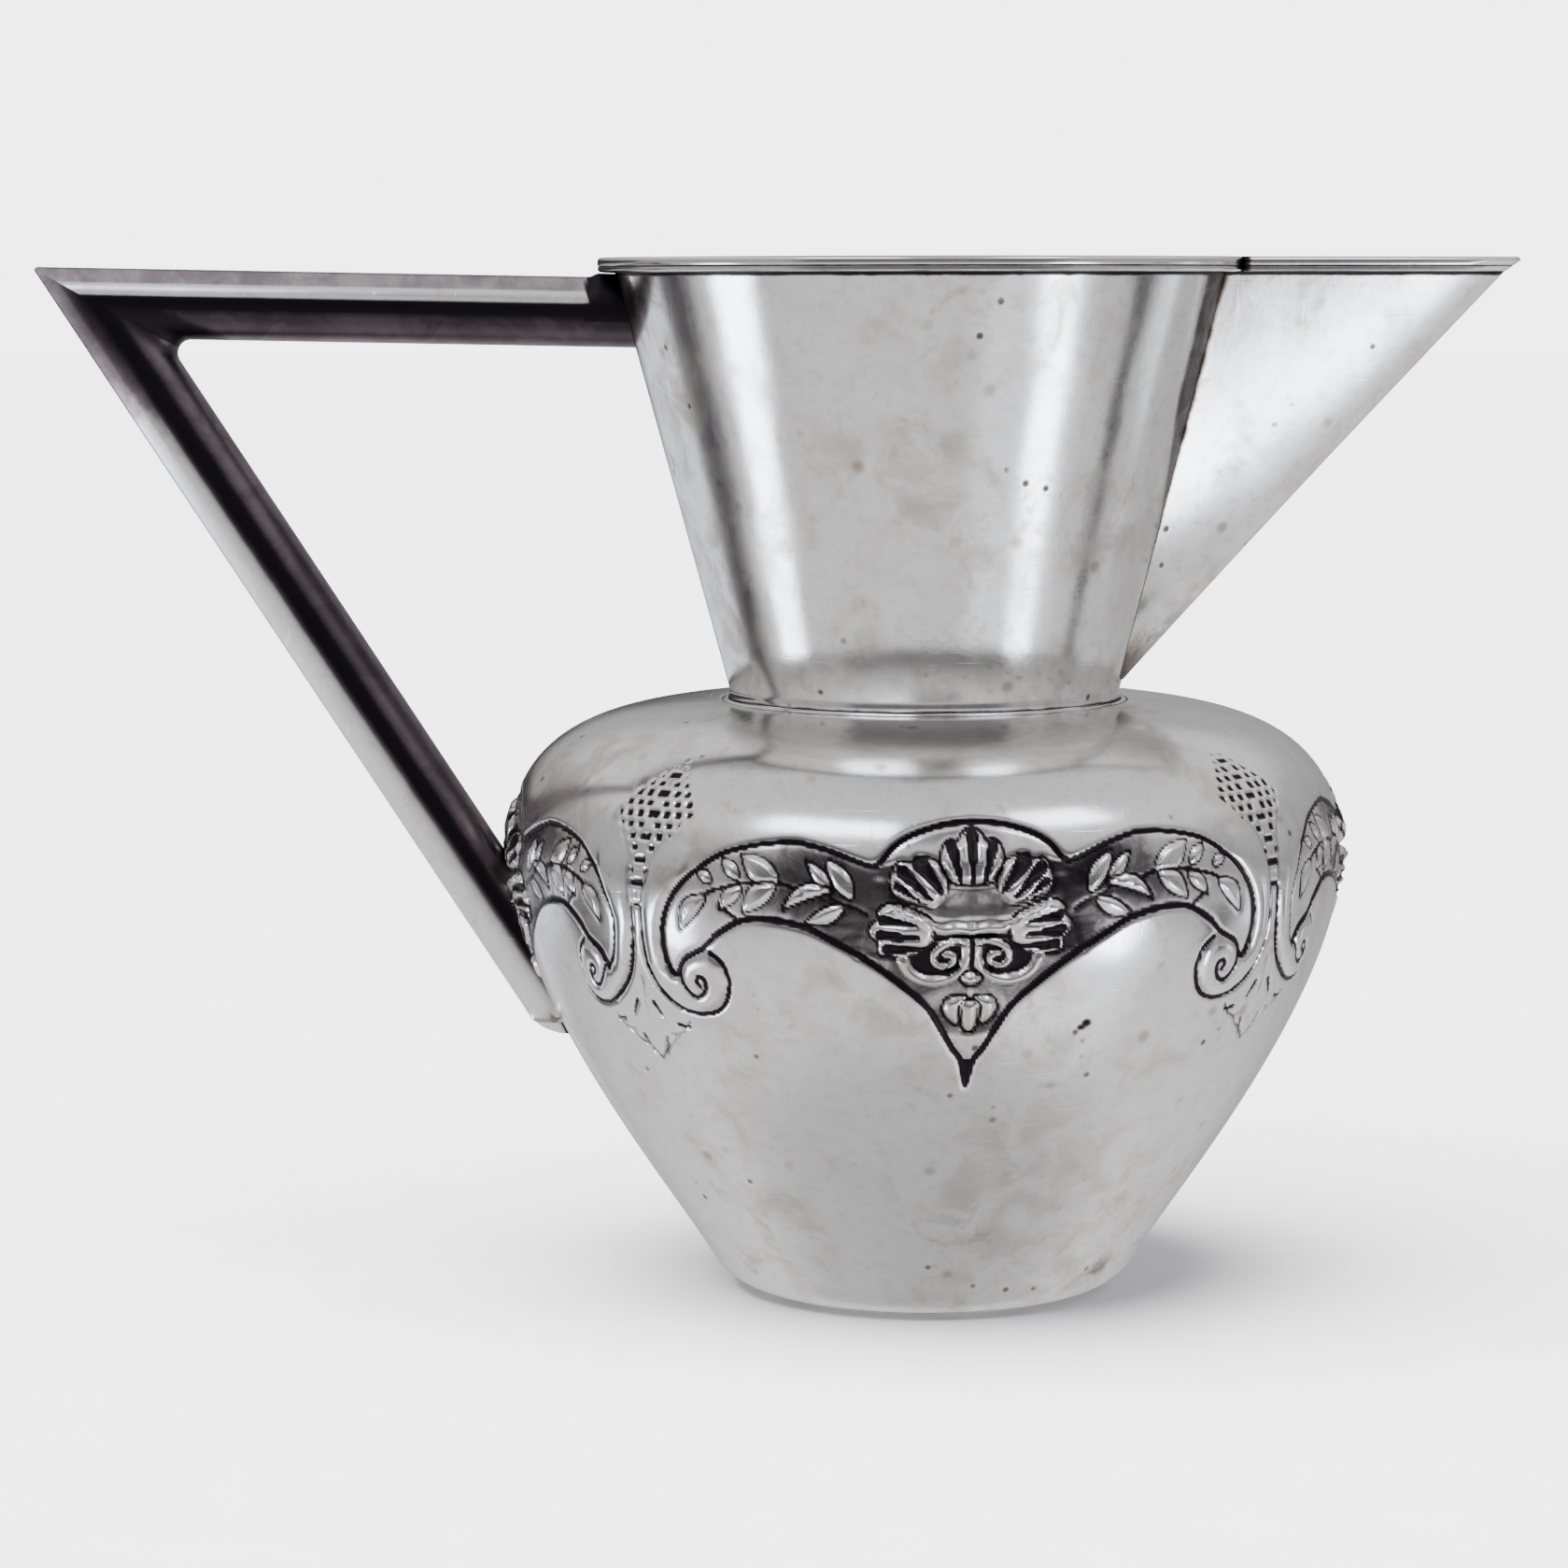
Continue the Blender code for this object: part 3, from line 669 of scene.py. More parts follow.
def chase_kite(work):
    """The kite of brick-like punches, the stem under it and the engraved palmette."""
    outline = np.concatenate([KITE_EDGE, [(0, -2.5), (-2, -2.5), (-2, 26.8)]])
    chosen, inside = work.within(outline, 1)
    y = work.along[chosen] + 40
    shifted = work.across[chosen] + BRICK_LENGTH / 2 * (np.floor(y / BRICK_ROW) % 2)
    from_middle = np.abs((shifted + BRICK_LENGTH / 4) % BRICK_LENGTH - BRICK_LENGTH / 2)
    from_row = np.abs(y % BRICK_ROW - 1.02)
    punch = ramp(from_middle, 0.82, 0.52) * ramp(from_row, 0.72, 0.42) * ramp(inside, 0.05, 0.5)
    work.height[chosen] -= punch * 0.45
    work.darken(chosen, punch * 0.97)
    work.cut(smooth_line(KITE_EDGE[4:]), 0.5, 0.15, 0.45)
    work.cut(smooth_line(STEM), 0.75, 0.3, 0.8)
    work.cut(smooth_line(PALMETTE), 0.8, 0.2, 0.5)
    for line, width, depth, dark in PALMETTE_CUTS:
        work.cut(line, width, depth, dark, taper=0.5)


def chased_surface(azimuth, v):
    """Height and darkness of the chased band at every azimuth and distance above the belly."""
    turn = azimuth - PANEL_MIDDLE
    along = v - BAND_TILT * np.sin(turn)
    around = (turn * BELLY_RADIUS) % (2 * PANEL_WIDTH)
    around = np.minimum(around, 2 * PANEL_WIDTH - around)
    edge = np.interp(along, *np.array(PANEL_EDGE, float).T)
    from_side = np.abs(PANEL_WIDTH - around)
    stretched = from_side + (2 * edge - PANEL_WIDTH) * ramp(from_side, 18, 50)
    across = np.where(around > edge, stretched, around)
    work = Chasing(across, along)
    for chase in (chase_grounds, chase_shell, chase_spirals, chase_ribbon, chase_festoon):
        chase(work)
    kite = Chasing(edge - across, along)
    kite.height = work.height
    kite.oxide_and_shade = work.oxide_and_shade
    chase_kite(kite)
    return np.maximum(work.height, -DEEPEST_CUT), np.clip(work.oxide_and_shade, 0, 1)


# ---------------------------------------------------------------- materials


class Nodes:
    """Short calls for building a node tree."""

    def __init__(self, tree):
        self.tree = tree

    def add(self, kind, inputs=(), **settings):
        """A node with its settings, and inputs that are set to values or linked to sockets."""
        node = self.tree.nodes.new(kind)
        for key, value in settings.items():
            setattr(node, key, value)
        for key, value in dict(inputs).items():
            if isinstance(value, bpy.types.NodeSocket):
                self.tree.links.new(value, node.inputs[key])
            else:
                node.inputs[key].default_value = value
        return node

    def place(self):
        """The object's own coordinates."""
        return self.add("ShaderNodeTexCoord").outputs["Object"]

    def noise(self, vector, scale, detail=3.0, roughness=0.5, distortion=0.0):
        inputs = {"Vector": vector, "Scale": scale, "Detail": detail}
        inputs.update({"Roughness": roughness, "Distortion": distortion})
        return self.add("ShaderNodeTexNoise", inputs).outputs["Fac"]

    def span(self, value, low, high, to_low=0.0, to_high=1.0):
        """A smooth step from to_low to to_high, as a value goes from low to high."""
        inputs = {"Value": value, "From Min": low, "From Max": high}
        inputs.update({"To Min": to_low, "To Max": to_high})
        node = self.add("ShaderNodeMapRange", inputs, interpolation_type="SMOOTHSTEP")
        return node.outputs["Result"]

    def calc(self, operation, *values):
        inputs = dict(enumerate(values))
        return self.add("ShaderNodeMath", inputs, operation=operation).outputs[0]

    def times(self, first, second):
        return self.calc("MULTIPLY", first, second)

    def mix(self, share, first, second):
        inputs = {0: share}
        for key, colour in ((6, first), (7, second)):
            inputs[key] = (*colour, 1.0) if isinstance(colour, tuple) else colour
        return self.add("ShaderNodeMix", inputs, data_type="RGBA").outputs[2]

    def bump(self, height, distance, strength, before=None):
        inputs = {"Height": height, "Distance": distance, "Strength": strength}
        if before is not None:
            inputs["Normal"] = before
        return self.add("ShaderNodeBump", inputs).outputs["Normal"]


CLEAN_SILVER = (0.90, 0.89, 0.87)
WARM_TARNISH = (0.60, 0.545, 0.475)
GREY_TARNISH = (0.56, 0.545, 0.55)
PIT_COLOUR = (0.16, 0.13, 0.10)
# Near black: tarnish in hollows and dark joints, and painted shadow and painted reflection on the neck,
# flanges and handle.
OXIDE_AND_SHADE_BLACK = (0.022, 0.019, 0.021)
BROWN_STAIN = (0.36, 0.27, 0.18)

# Spots as (cells per metre, edge of a spot, its middle, patches per metre, patch from, patch to).
PITS = (190.0, 0.17, 0.07, 75.0, 0.54, 0.62)
FRECKLES = (105.0, 0.19, 0.05, 38.0, 0.45, 0.56)
# Hair scratches as (stretch, turn, least and greatest noise level of a scratch).
HAIRS = (
    ((60.0, 60.0, 1500.0), (0.35, 0.2, 0.6), 0.64, 0.72),
    ((1300.0, 70.0, 90.0), (0.1, 0.5, 0.3), 0.66, 0.74),
)


def tarnished(nodes, place, mottle, blotch, tarnish):
    """Clean silver under brown and grey tarnish, dust and a few bruises."""
    colour = nodes.mix(blotch, CLEAN_SILVER, WARM_TARNISH)
    haze = nodes.times(nodes.span(mottle, 0.55, 0.75), 0.45 * tarnish)
    colour = nodes.mix(haze, colour, GREY_TARNISH)
    speckle = nodes.noise(place, 420.0, 4.0, 0.65, 0.3)
    dusty = nodes.times(nodes.span(speckle, 0.45, 0.8), 0.55 * tarnish)
    colour = nodes.mix(dusty, colour, GREY_TARNISH)
    bruise = nodes.span(nodes.noise(place, 55.0, 3.0, 0.6, 1.2), 0.60, 0.72)
    bruise = nodes.times(nodes.times(bruise, nodes.span(speckle, 0.3, 0.6)), 0.5 * tarnish)
    return nodes.mix(bruise, colour, BROWN_STAIN)


def spots(nodes, place, kind):
    """Round marks that stand in patches, as a share from 0 to 1."""
    scale, edge, middle, patch_scale, patch_low, patch_high = kind
    cells = nodes.add("ShaderNodeTexVoronoi", {"Scale": scale, "Vector": place})
    dots = nodes.span(cells.outputs["Distance"], edge, middle)
    patches = nodes.span(nodes.noise(place, patch_scale, 2.0), patch_low, patch_high)
    return nodes.times(dots, patches)


def hairlines(nodes, place):
    """Fine scratches in two directions."""
    lines = []
    for stretch, turn, low, high in HAIRS:
        inputs = {"Vector": place, "Scale": stretch, "Rotation": turn}
        vector = nodes.add("ShaderNodeMapping", inputs).outputs["Vector"]
        lines.append(nodes.span(nodes.noise(vector, 1.0, 2.0, 0.7), low, high))
    return nodes.calc("ADD", *lines)


def attribute_darkened(nodes, colour, rough, mottle, tint, patchy):
    """Darken and roughen a silver where the mesh's darkness attribute says so: tarnish in hollows,
    stains, and on some pieces painted shadow and painted reflection.
    """
    stain_and_shade = nodes.add("ShaderNodeAttribute", attribute_name="oxide_and_shade").outputs["Fac"]
    uneven = nodes.calc("ADD", stain_and_shade, nodes.span(mottle, 0.35, 0.65, -patchy, patchy))
    share = nodes.times(nodes.span(uneven, 0.12, 0.86), nodes.span(stain_and_shade, 0.02, 0.2))
    colour = nodes.mix(nodes.span(share, 0.0, 0.6), colour, tint)
    colour = nodes.mix(nodes.span(share, 0.35, 1.0), colour, OXIDE_AND_SHADE_BLACK)
    return colour, nodes.calc("ADD", rough, nodes.times(share, 0.22))


def silver(name, polish, tarnish, pits, scratches, wave, darken_by_attribute=True,
           tint=(0.29, 0.265, 0.265), patchy=0.10):
    """Old polished silver: mottled tarnish, pits, hairline scratches and hand-worked waves."""
    material = bpy.data.materials.new(name)
    material.use_nodes = True
    nodes = Nodes(material.node_tree)
    shader = material.node_tree.nodes["Principled BSDF"]
    shader.inputs["Metallic"].default_value = 1.0
    place = nodes.place()
    clouds = nodes.noise(place, 24.0, 4.0, 0.55, 0.4)
    mottle = nodes.noise(place, 120.0, 5.0, 0.62, 0.6)
    blotch = nodes.times(nodes.span(clouds, 0.42, 0.66), nodes.span(mottle, 0.38, 0.66))
    blotch = nodes.times(blotch, tarnish)
    colour = tarnished(nodes, place, mottle, blotch, tarnish)
    pit = nodes.times(spots(nodes, place, PITS), pits)
    colour = nodes.mix(pit, colour, PIT_COLOUR)
    freckle = nodes.times(spots(nodes, place, FRECKLES), 0.7 * pits)
    colour = nodes.mix(freckle, colour, BROWN_STAIN)
    hair = nodes.times(hairlines(nodes, place), scratches)
    rough = nodes.calc("MULTIPLY_ADD", clouds, 0.10, polish - 0.05)
    for mark, amount in ((blotch, 0.14), (hair, 0.08), (pit, 0.3)):
        rough = nodes.calc("ADD", rough, nodes.times(mark, amount))
    # Darkening from the mesh's attribute: tarnish in hollows, stains, and on some pieces painted shadow
    # and painted reflection.
    if darken_by_attribute:
        colour, rough = attribute_darkened(nodes, colour, rough, mottle, tint, patchy)
    normal = nodes.bump(nodes.noise(place, 32.0, 1.5, 0.45), 0.0016, wave)
    normal = nodes.bump(nodes.noise(place, 900.0, 3.0, 0.6), 0.00002, 0.35, normal)
    normal = nodes.bump(nodes.calc("ADD", hair, pit), -0.00004, 0.5, normal)
    for socket, value in (("Base Color", colour), ("Roughness", rough), ("Normal", normal)):
        nodes.tree.links.new(value, shader.inputs[socket])
    return material


def stage_material(name, colour):
    """A pale, softly mottled paper for the floor."""
    material = bpy.data.materials.new(name)
    material.use_nodes = True
    nodes = Nodes(material.node_tree)
    shader = material.node_tree.nodes["Principled BSDF"]
    fleck = nodes.span(nodes.noise(nodes.place(), 60.0, 4.0), 0.3, 0.7)
    darker = tuple(0.97 * value for value in colour)
    nodes.tree.links.new(nodes.mix(fleck, darker, colour), shader.inputs["Base Color"])
    shader.inputs["Roughness"].default_value = 0.9
    shader.inputs["Specular IOR Level"].default_value = 0.2
    return material


# ---------------------------------------------------------------- bowl


def old_marks(azimuth, v):
    """How dark the stains left by use are, at each azimuth and distance above the belly."""
    stain_and_shade = np.zeros(len(azimuth))
    for degrees, height, half_width, half_length, dark in OLD_MARKS:
        middle = np.interp(height, OUTLINE[::-1, 1], ABOVE_BELLY[::-1])
        turn = (azimuth - math.radians(degrees) + math.pi) % (2 * math.pi) - math.pi
        across = turn * bowl_radius(height) / half_width
        along = (v - middle) / half_length
        stain_and_shade = np.maximum(stain_and_shade, dark * np.exp(-(across**2) - along**2))
    return stain_and_shade


def bowl_rows():
    """Distances above the belly of the outer rows, and how many columns each row has."""
    top = ABOVE_BELLY[0]
    foot = ABOVE_BELLY[-1]
    joint = np.linspace(top, top - JOINT_WIDTH, 16)[:-1]
    below_joint = top - JOINT_WIDTH
    plain = np.linspace(below_joint, BAND_TOP, int((below_joint - BAND_TOP) / PLAIN_STEP) + 1)
    upper = np.concatenate([joint, plain[:-1]])
    band = np.linspace(BAND_TOP, BAND_FOOT, int((BAND_TOP - BAND_FOOT) / BAND_STEP) + 1)
    lower = np.linspace(BAND_FOOT, foot, int((BAND_FOOT - foot) / PLAIN_STEP) + 1)[1:]
    places = np.concatenate([upper, band, lower])
    columns = [PLAIN_COLUMNS] * len(upper) + [BAND_COLUMNS] * len(band)
    columns += [PLAIN_COLUMNS] * len(lower)
    return places, columns


def joint_moulding(below):
    """How far the bowl stands up where the neck is soldered on: a fine bead, then a groove."""
    bead = 0.22 * np.exp(-(((below - 1.15) / 0.32) ** 2))
    return bead - 0.16 * np.exp(-(((below - 1.9) / 0.22) ** 2))


def ring_points(radius, height, columns):
    angles = np.arange(columns) * 2 * math.pi / columns
    ring = np.empty((columns, 3))
    ring[:, 0] = np.sin(angles) * radius
    ring[:, 1] = -np.cos(angles) * radius
    ring[:, 2] = height
    return ring


def joined(first_start, first_count, second_start, second_count):
    """Faces between two rings whose counts divide evenly, or are the same."""
    faces = []
    if first_count >= second_count:
        step = first_count // second_count
        for column in range(second_count):
            after = (column + 1) % second_count
            fine = [first_start + (column * step + k) % first_count for k in range(step + 1)]
            faces.append(fine + [second_start + after, second_start + column])
        return faces
    swapped = joined(second_start, second_count, first_start, first_count)
    return [face[::-1] for face in swapped]


def bowl_outside(places, columns):
    """Points of the bowl's outer face with the chasing raised and sunk in it, and their stain."""
    turns = np.concatenate([np.arange(count) * 2 * math.pi / count for count in columns])
    levels = np.repeat(places, columns)
    radius, height, out, up = on_outline(levels)
    below = places[0] - levels
    height = height + joint_moulding(below)
    oxide_and_shade = JOINT_STAIN * ramp(np.abs(below - 0.2), 0.75, 0.25)
    oxide_and_shade += 0.75 * ramp(np.abs(below - 1.9), 0.4, 0.1)
    band = np.repeat(np.array(columns) == BAND_COLUMNS, columns)
    v = levels[band]
    relief, stain_and_shade = chased_surface(turns[band], v)
    fade = ramp(v, BAND_TOP, BAND_TOP - 1) * ramp(v, BAND_FOOT, BAND_FOOT + 1)
    radius[band] += out[band] * relief * fade
    height[band] += up[band] * relief * fade
    oxide_and_shade[band] = stain_and_shade * fade
    points = np.stack([np.sin(turns) * radius, -np.cos(turns) * radius, height], 1)
    return points, np.maximum(oxide_and_shade, old_marks(turns, levels))


def bowl_inside(places):
    """Rings of the bowl's inner face, from the base disc up to the neck."""
    rings = [ring_points(FOOT_FLAT_RADIUS - 0.1, SHEET, INSIDE_COLUMNS)]
    for v in np.linspace(places[-1], places[0], 60)[1:-1]:
        radius, height, out, up = on_outline(v)
        radius = max(radius - out * SHEET, FOOT_FLAT_RADIUS)
        rings.append(ring_points(radius, height - up * SHEET, INSIDE_COLUMNS))
    for height in (SHOULDER_TOP - SHEET, SHOULDER_TOP):
        rings.append(ring_points(NECK_FOOT_RADIUS - 1.5, height, INSIDE_COLUMNS))
    return rings


def make_bowl(material):
    """The spun and chased bowl, as one closed sheet."""
    places, columns = bowl_rows()
    outside, oxide_and_shade = bowl_outside(places, columns)
    inside = bowl_inside(places)
    points = np.concatenate([outside] + inside)
    oxide_and_shade = np.concatenate([oxide_and_shade, np.zeros(len(points) - len(oxide_and_shade))])
    counts = columns + [INSIDE_COLUMNS] * len(inside)
    starts = np.cumsum([0] + counts[:-1]).tolist()
    faces = []
    for index in range(-len(counts), 0):
        faces += joined(starts[index], counts[index], starts[index + 1], counts[index + 1])
    finish = ("body_shell", "chased_silver", material)
    return add_piece("chased_bowl", points, faces, finish, 60.0, oxide_and_shade)


def make_base_plate(material):
    """The disc in the foot: an eased edge, a faint spinning step and a centre mark."""
    radius = PLATE_HIGH[0]
    thick = PLATE_HIGH[2]
    section = [
        (0.0, thick), (radius - 0.3, thick), (radius, thick - 0.3), (radius, 0.25),
        (radius - 0.25, 0.0), (radius - 3.0, 0.0), (radius - 3.3, 0.18), (radius - 4.2, 0.22),
        (12.0, 0.3), (11.7, 0.24), (11.2, 0.3), (0.9, 0.34), (0.5, 0.5), (0.0, 0.55),
    ]
    rings = [ring_points(max(r, 0.01), z, 128) for r, z in section]
    return swept("base_plate_disc", rings, ("base_plate", "worn_silver", material), 25.0)


# ---------------------------------------------------------------- neck and spout


def crease_at(height):
    """How far up the spout a height is, as a share, and the creases' angle about the axis."""
    share = (height - KEEL_FOOT[1]) / (NECK_TOP - KEEL_FOOT[1])
    return share, CREASE_FOOT + share * (CREASE_TOP - CREASE_FOOT)


def opening_angle(height):
    """Half of the spout's opening, as an angle about the axis: none below the spout's foot."""
    rounding = np.clip((height - OPENING_FOOT) / OPENING_ROUNDING, 0, 1)
    return (crease_at(height)[1] - 0.028) * np.sqrt(1 - (1 - rounding) ** 2)


def neck_stain_and_shade(heights, outer):
    """Stains at the neck's foot and along the creases, a darker wedge beside each crease, painted shadow
    under the flange and a painted reflection of the handle beside it.
    """
    height = heights[:, None]
    foot = 0.9 * np.clip(1 - (height - NECK_FOOT) / 1.1, 0, 1) ** 2
    turn = np.abs(np.arctan2(outer[..., 1], outer[..., 0])) - opening_angle(height)
    beside = ramp(turn, 0.035, 0.01) * ramp(height, NECK_FOOT, NECK_FOOT + 4)
    # A darker wedge beside each crease, widening towards the top.
    high = ramp(height, NECK_TOP - WEDGE_REACH, NECK_TOP - 20)
    wedge = ramp(turn, 0.03 + 0.20 * high, 0.02 + 0.14 * high) * ramp(high, 0.0, 0.3)
    # Painted shadow under the flange.
    under = FLANGE_SHADOW * ramp(height, SEAT - 1.0, SEAT - 0.3)
    # Painted reflection of the dark handle on the neck beside it.
    arm = ramp(np.abs(outer[..., 1]), SECTION_HALF_WIDTH + 3.4, SECTION_HALF_WIDTH + 0.8)
    arm = arm * ramp(outer[..., 2], ARM_FOOT - 3.0, ARM_FOOT) * (outer[..., 0] < 0)
    stain_and_shade = np.maximum(foot, 0.6 * beside)
    for more in ((0.5 + 0.16 * high) * wedge, under, 0.72 * arm):
        stain_and_shade = np.maximum(stain_and_shade, more)
    return stain_and_shade


def with_inside(stain_and_shade):
    """The outer face's darkening, followed by the even darkening of the inner face."""
    return np.concatenate([stain_and_shade.ravel(), np.full(stain_and_shade.size, INSIDE_STAIN)])


def make_neck(material):
    """The flared neck, open towards the spout, with a turned-out foot."""
    lower = NECK_FOOT + (OPENING_FOOT - NECK_FOOT) * np.linspace(0, 1, 16) ** 1.6
    curve = OPENING_FOOT + OPENING_ROUNDING * np.linspace(0, 1, 14)[1:] ** 2
    upper = np.concatenate([np.linspace(curve[-1], NECK_TOP, NECK_ROWS)[1:-1], UNDER_FLANGE])
    heights = np.concatenate([lower, curve, upper])
    height = heights[:, None]
    half = opening_angle(height)
    angles = half + (2 * math.pi - 2 * half) * np.linspace(0, 1, NECK_COLUMNS + 1)
    flare = NECK_FLARE * np.clip(1 - (height - NECK_FOOT) / NECK_FLARE_HEIGHT, 0, None) ** 2
    wall = neck_radius(height)
    grids = []
    for radius in (wall + flare, wall - SHEET):
        level = np.broadcast_to(height, angles.shape)
        grids.append(np.stack([np.cos(angles) * radius, np.sin(angles) * radius, level], 2))
    stain_and_shade = with_inside(neck_stain_and_shade(heights, grids[0]))
    return walled("flared_neck", *grids, ("neck", "polished_silver", material), stain_and_shade=stain_and_shade)


def fold(across):
    """How far forward a side of the spout is: 0 at the crease (across 1), 1 at the keel (0)."""
    crease = math.hypot(1.0, FOLD_SHARE)
    return (crease - np.hypot(across, FOLD_SHARE)) / (crease - FOLD_SHARE)


def spout_half_plan(height, inset, count=SPOUT_COLUMNS // 2):
    """Half of the spout's plan at a height, from the crease to the nose."""
    share, crease = crease_at(height)
    radius = neck_radius(height)
    crease_x = radius * math.cos(crease)
    hollow = KEEL_HOLLOW * math.sin(math.pi * np.clip(share, 0, 1))
    nose_x = KEEL_FOOT[0] + share * (KEEL_TOP_RADIUS - KEEL_FOOT[0]) - hollow
    across = (1 - np.linspace(0, 1, count + 1)) ** 1.25
    x = crease_x + (nose_x - crease_x) * fold(across)
    y = across * radius * math.sin(crease)
    run = np.gradient(x)
    rise = np.gradient(y)
    size = np.hypot(run, rise)
    moved_x = x + rise / size * inset
    moved_y = y - run / size * inset
    moved_x[-1] = nose_x - inset
    moved_y[-1] = 0.0
    return moved_x, np.clip(moved_y, 0, None)


def spout_rows(heights, inset):
    """A grid of one face of the spout, whose edges run on 0.8 mm into the neck's wall."""
    rows = []
    for height in heights:
        right = np.stack(spout_half_plan(height, inset), 1)
        inward = right[0] - right[1]
        root = right[0] + inward / np.linalg.norm(inward) * 0.8
        right = np.concatenate([[root], right])
        right = np.column_stack([right, np.full(len(right), height)])
        rows.append(np.concatenate([right, right[-2::-1] * (1, -1, 1)]))
    return np.array(rows)


def make_spout(material):
    """The folded spout, stained along its creases and at its foot, with painted shadow under its flange.
    """
    heights = np.linspace(SPOUT_FOOT + 2.2, NECK_TOP, SPOUT_ROWS)
    heights = np.concatenate([heights[:-1], UNDER_FLANGE])
    grids = [spout_rows(heights, inset) for inset in (0.0, SHEET)]
    place = np.abs(np.linspace(-1, 1, grids[0].shape[1]))
    height = heights[:, None]
    # Painted shadow under the flange.
    under = FLANGE_SHADOW * ramp(height, SEAT - 1.0, SEAT - 0.3)
    foot = ramp(height, SPOUT_FOOT + 16, SPOUT_FOOT + 4) * (0.35 + 0.4 * place)
    stain_and_shade = np.maximum(np.maximum(0.75 * ramp(place, 0.955, 0.985), under), foot)
    finish = ("spout", "polished_silver", material)
    return walled("folded_spout", *grids, finish, 40.0, with_inside(stain_and_shade))


def rim_section():
    """The moulding as (outward from the wall, height, darkness): a rounded edge over a fine step. The
    step is darkened, and the underside is darkened as painted shadow.
    """
    out = RIM_OVERHANG
    top = RIM_TOP
    section = [(-SHEET, top - 0.25, 0.1), (-SHEET + 0.25, top, 0.0)]
    for angle in np.linspace(0, math.pi / 2, 7):
        aside = RIM_CORNER * (math.sin(angle) - 1)
        section.append((out + aside, top + RIM_CORNER * (math.cos(angle) - 1), 0.0))
    section += [
        (out, top - 1.4, 0.0), (out - 0.06, top - 1.52, 0.4), (out - 0.2, top - 1.6, 0.75),
        (out - 0.2, top - 1.7, 0.75), (out - 0.06, top - 1.8, 0.2), (out - 0.03, top - 2.0, 0.0),
        # The lower edge and the underside, which is darkened as painted shadow.
        (out - 0.08, top - 2.4, 0.0), (out - 0.4, top - 2.64, 0.5), (out - 1.1, top - 2.75, 0.9),
        (0.5, top - 2.8, 0.9), (-SHEET, top - 2.8, 0.4),
    ]
    return section


def make_neck_rim(material):
    """The flange round the neck, open at the spout."""
    half = math.asin(SPOUT_RIM_HIGH[1] / RIM_HIGH[1]) - 0.045
    out, height, dark = np.array(rim_section()).T
    radius = NECK_TOP_RADIUS + out
    rings = []
    for angle in np.linspace(half, 2 * math.pi - half, 300):
        rings.append(np.stack([math.cos(angle) * radius, math.sin(angle) * radius, height], 1))
    # The section's darkening, with painted shadow on the underside, and darker ends.
    stain_and_shade = np.tile(dark, (len(rings), 1))
    stain_and_shade[[0, -1]] = 0.8
    return swept("neck_flange", rings, ("neck_rim", "rim_silver", material), 40.0, stain_and_shade)


def beak(out, height, x):
    """How far the moulding stands out: near the nose its underside slopes up to a point."""
    below = max(RIM_TOP - RIM_CORNER - height, 0.0)
    near_nose = float(ramp(x, KEEL_TOP_RADIUS - NOSE_TAPER, KEEL_TOP_RADIUS))
    return min(out, out * (1 - 0.42 * near_nose * below)) if out > 0 else out


def make_spout_rim(material):
    """The flange along the spout, which starts at the neck's flange."""
    section = rim_section()
    walls = np.stack(spout_half_plan(NECK_TOP, 0.0, FLANGE_STATIONS), 1)
    steps = np.stack(spout_half_plan(NECK_TOP, -1.0, FLANGE_STATIONS), 1) - walls
    half = list(zip(walls, steps))
    stations = [(1, *station) for station in half] + [(-1, *station) for station in half[-2::-1]]
    rings = []
    for side, wall, step in stations:
        ring = []
        for out, height, _ in section:
            reach = beak(out, height, wall[0])
            y = max(wall[1] + step[1] * reach, 0.0)
            ring.append((wall[0] + step[0] * reach, side * y, height))
        middle = np.mean(ring, axis=0)
        if math.hypot(middle[0], middle[1]) > RIM_HIGH[1]:
            rings.append(ring)
    from_end = np.minimum(np.arange(len(rings)), np.arange(len(rings))[::-1])
    # The section's darkening, with painted shadow on the underside, and darker ends where it meets the
    # neck's flange.
    stain_and_shade = np.tile([dark for _, _, dark in section], (len(rings), 1))
    stain_and_shade = np.maximum(stain_and_shade, 0.85 * ramp(from_end, 5, 0)[:, None])
    return swept("spout_flange", rings, ("spout_rim", "rim_silver", material), 40.0, stain_and_shade)


# ---------------------------------------------------------------- handle


def eased(before, corner, after, reach, parts=4):
    """Points that round off a corner between two neighbours."""
    before, corner, after = (np.array(point, float) for point in (before, corner, after))
    start = corner + (before - corner) / np.linalg.norm(before - corner) * reach
    end = corner + (after - corner) / np.linalg.norm(after - corner) * reach
    t = np.linspace(0, 1, parts + 1)[:, None]
    return (1 - t) ** 2 * start + 2 * t * (1 - t) * corner + t * t * end


def handle_section():
    """The handle's section as (across, depth): a flat, two facets, and a rounded inner side."""
    flat = (OUTER_FACE_HALF_WIDTH, 0.0)
    edge = (SECTION_HALF_WIDTH - 0.35, CHAMFER_DEPTH)
    side = (SECTION_HALF_WIDTH, ROUND_SIDE_DEPTH)
    half = list(eased((0.0, 0.0), flat, edge, FACET_ROUNDING))
    half += list(eased(flat, edge, side, SIDE_ROUNDING, 7))
    for angle in np.linspace(0, math.pi / 2, 15):
        across = SECTION_HALF_WIDTH * math.cos(angle) ** (2 / ROUND_SIDE_POWER)
        reach = (SECTION_DEPTH - ROUND_SIDE_DEPTH) * math.sin(angle) ** (2 / ROUND_SIDE_POWER)
        half.append(np.array((across, ROUND_SIDE_DEPTH + reach)))
    half[-1][0] = 0.0
    return np.array(half + [(-x, y) for x, y in half[-2::-1]])


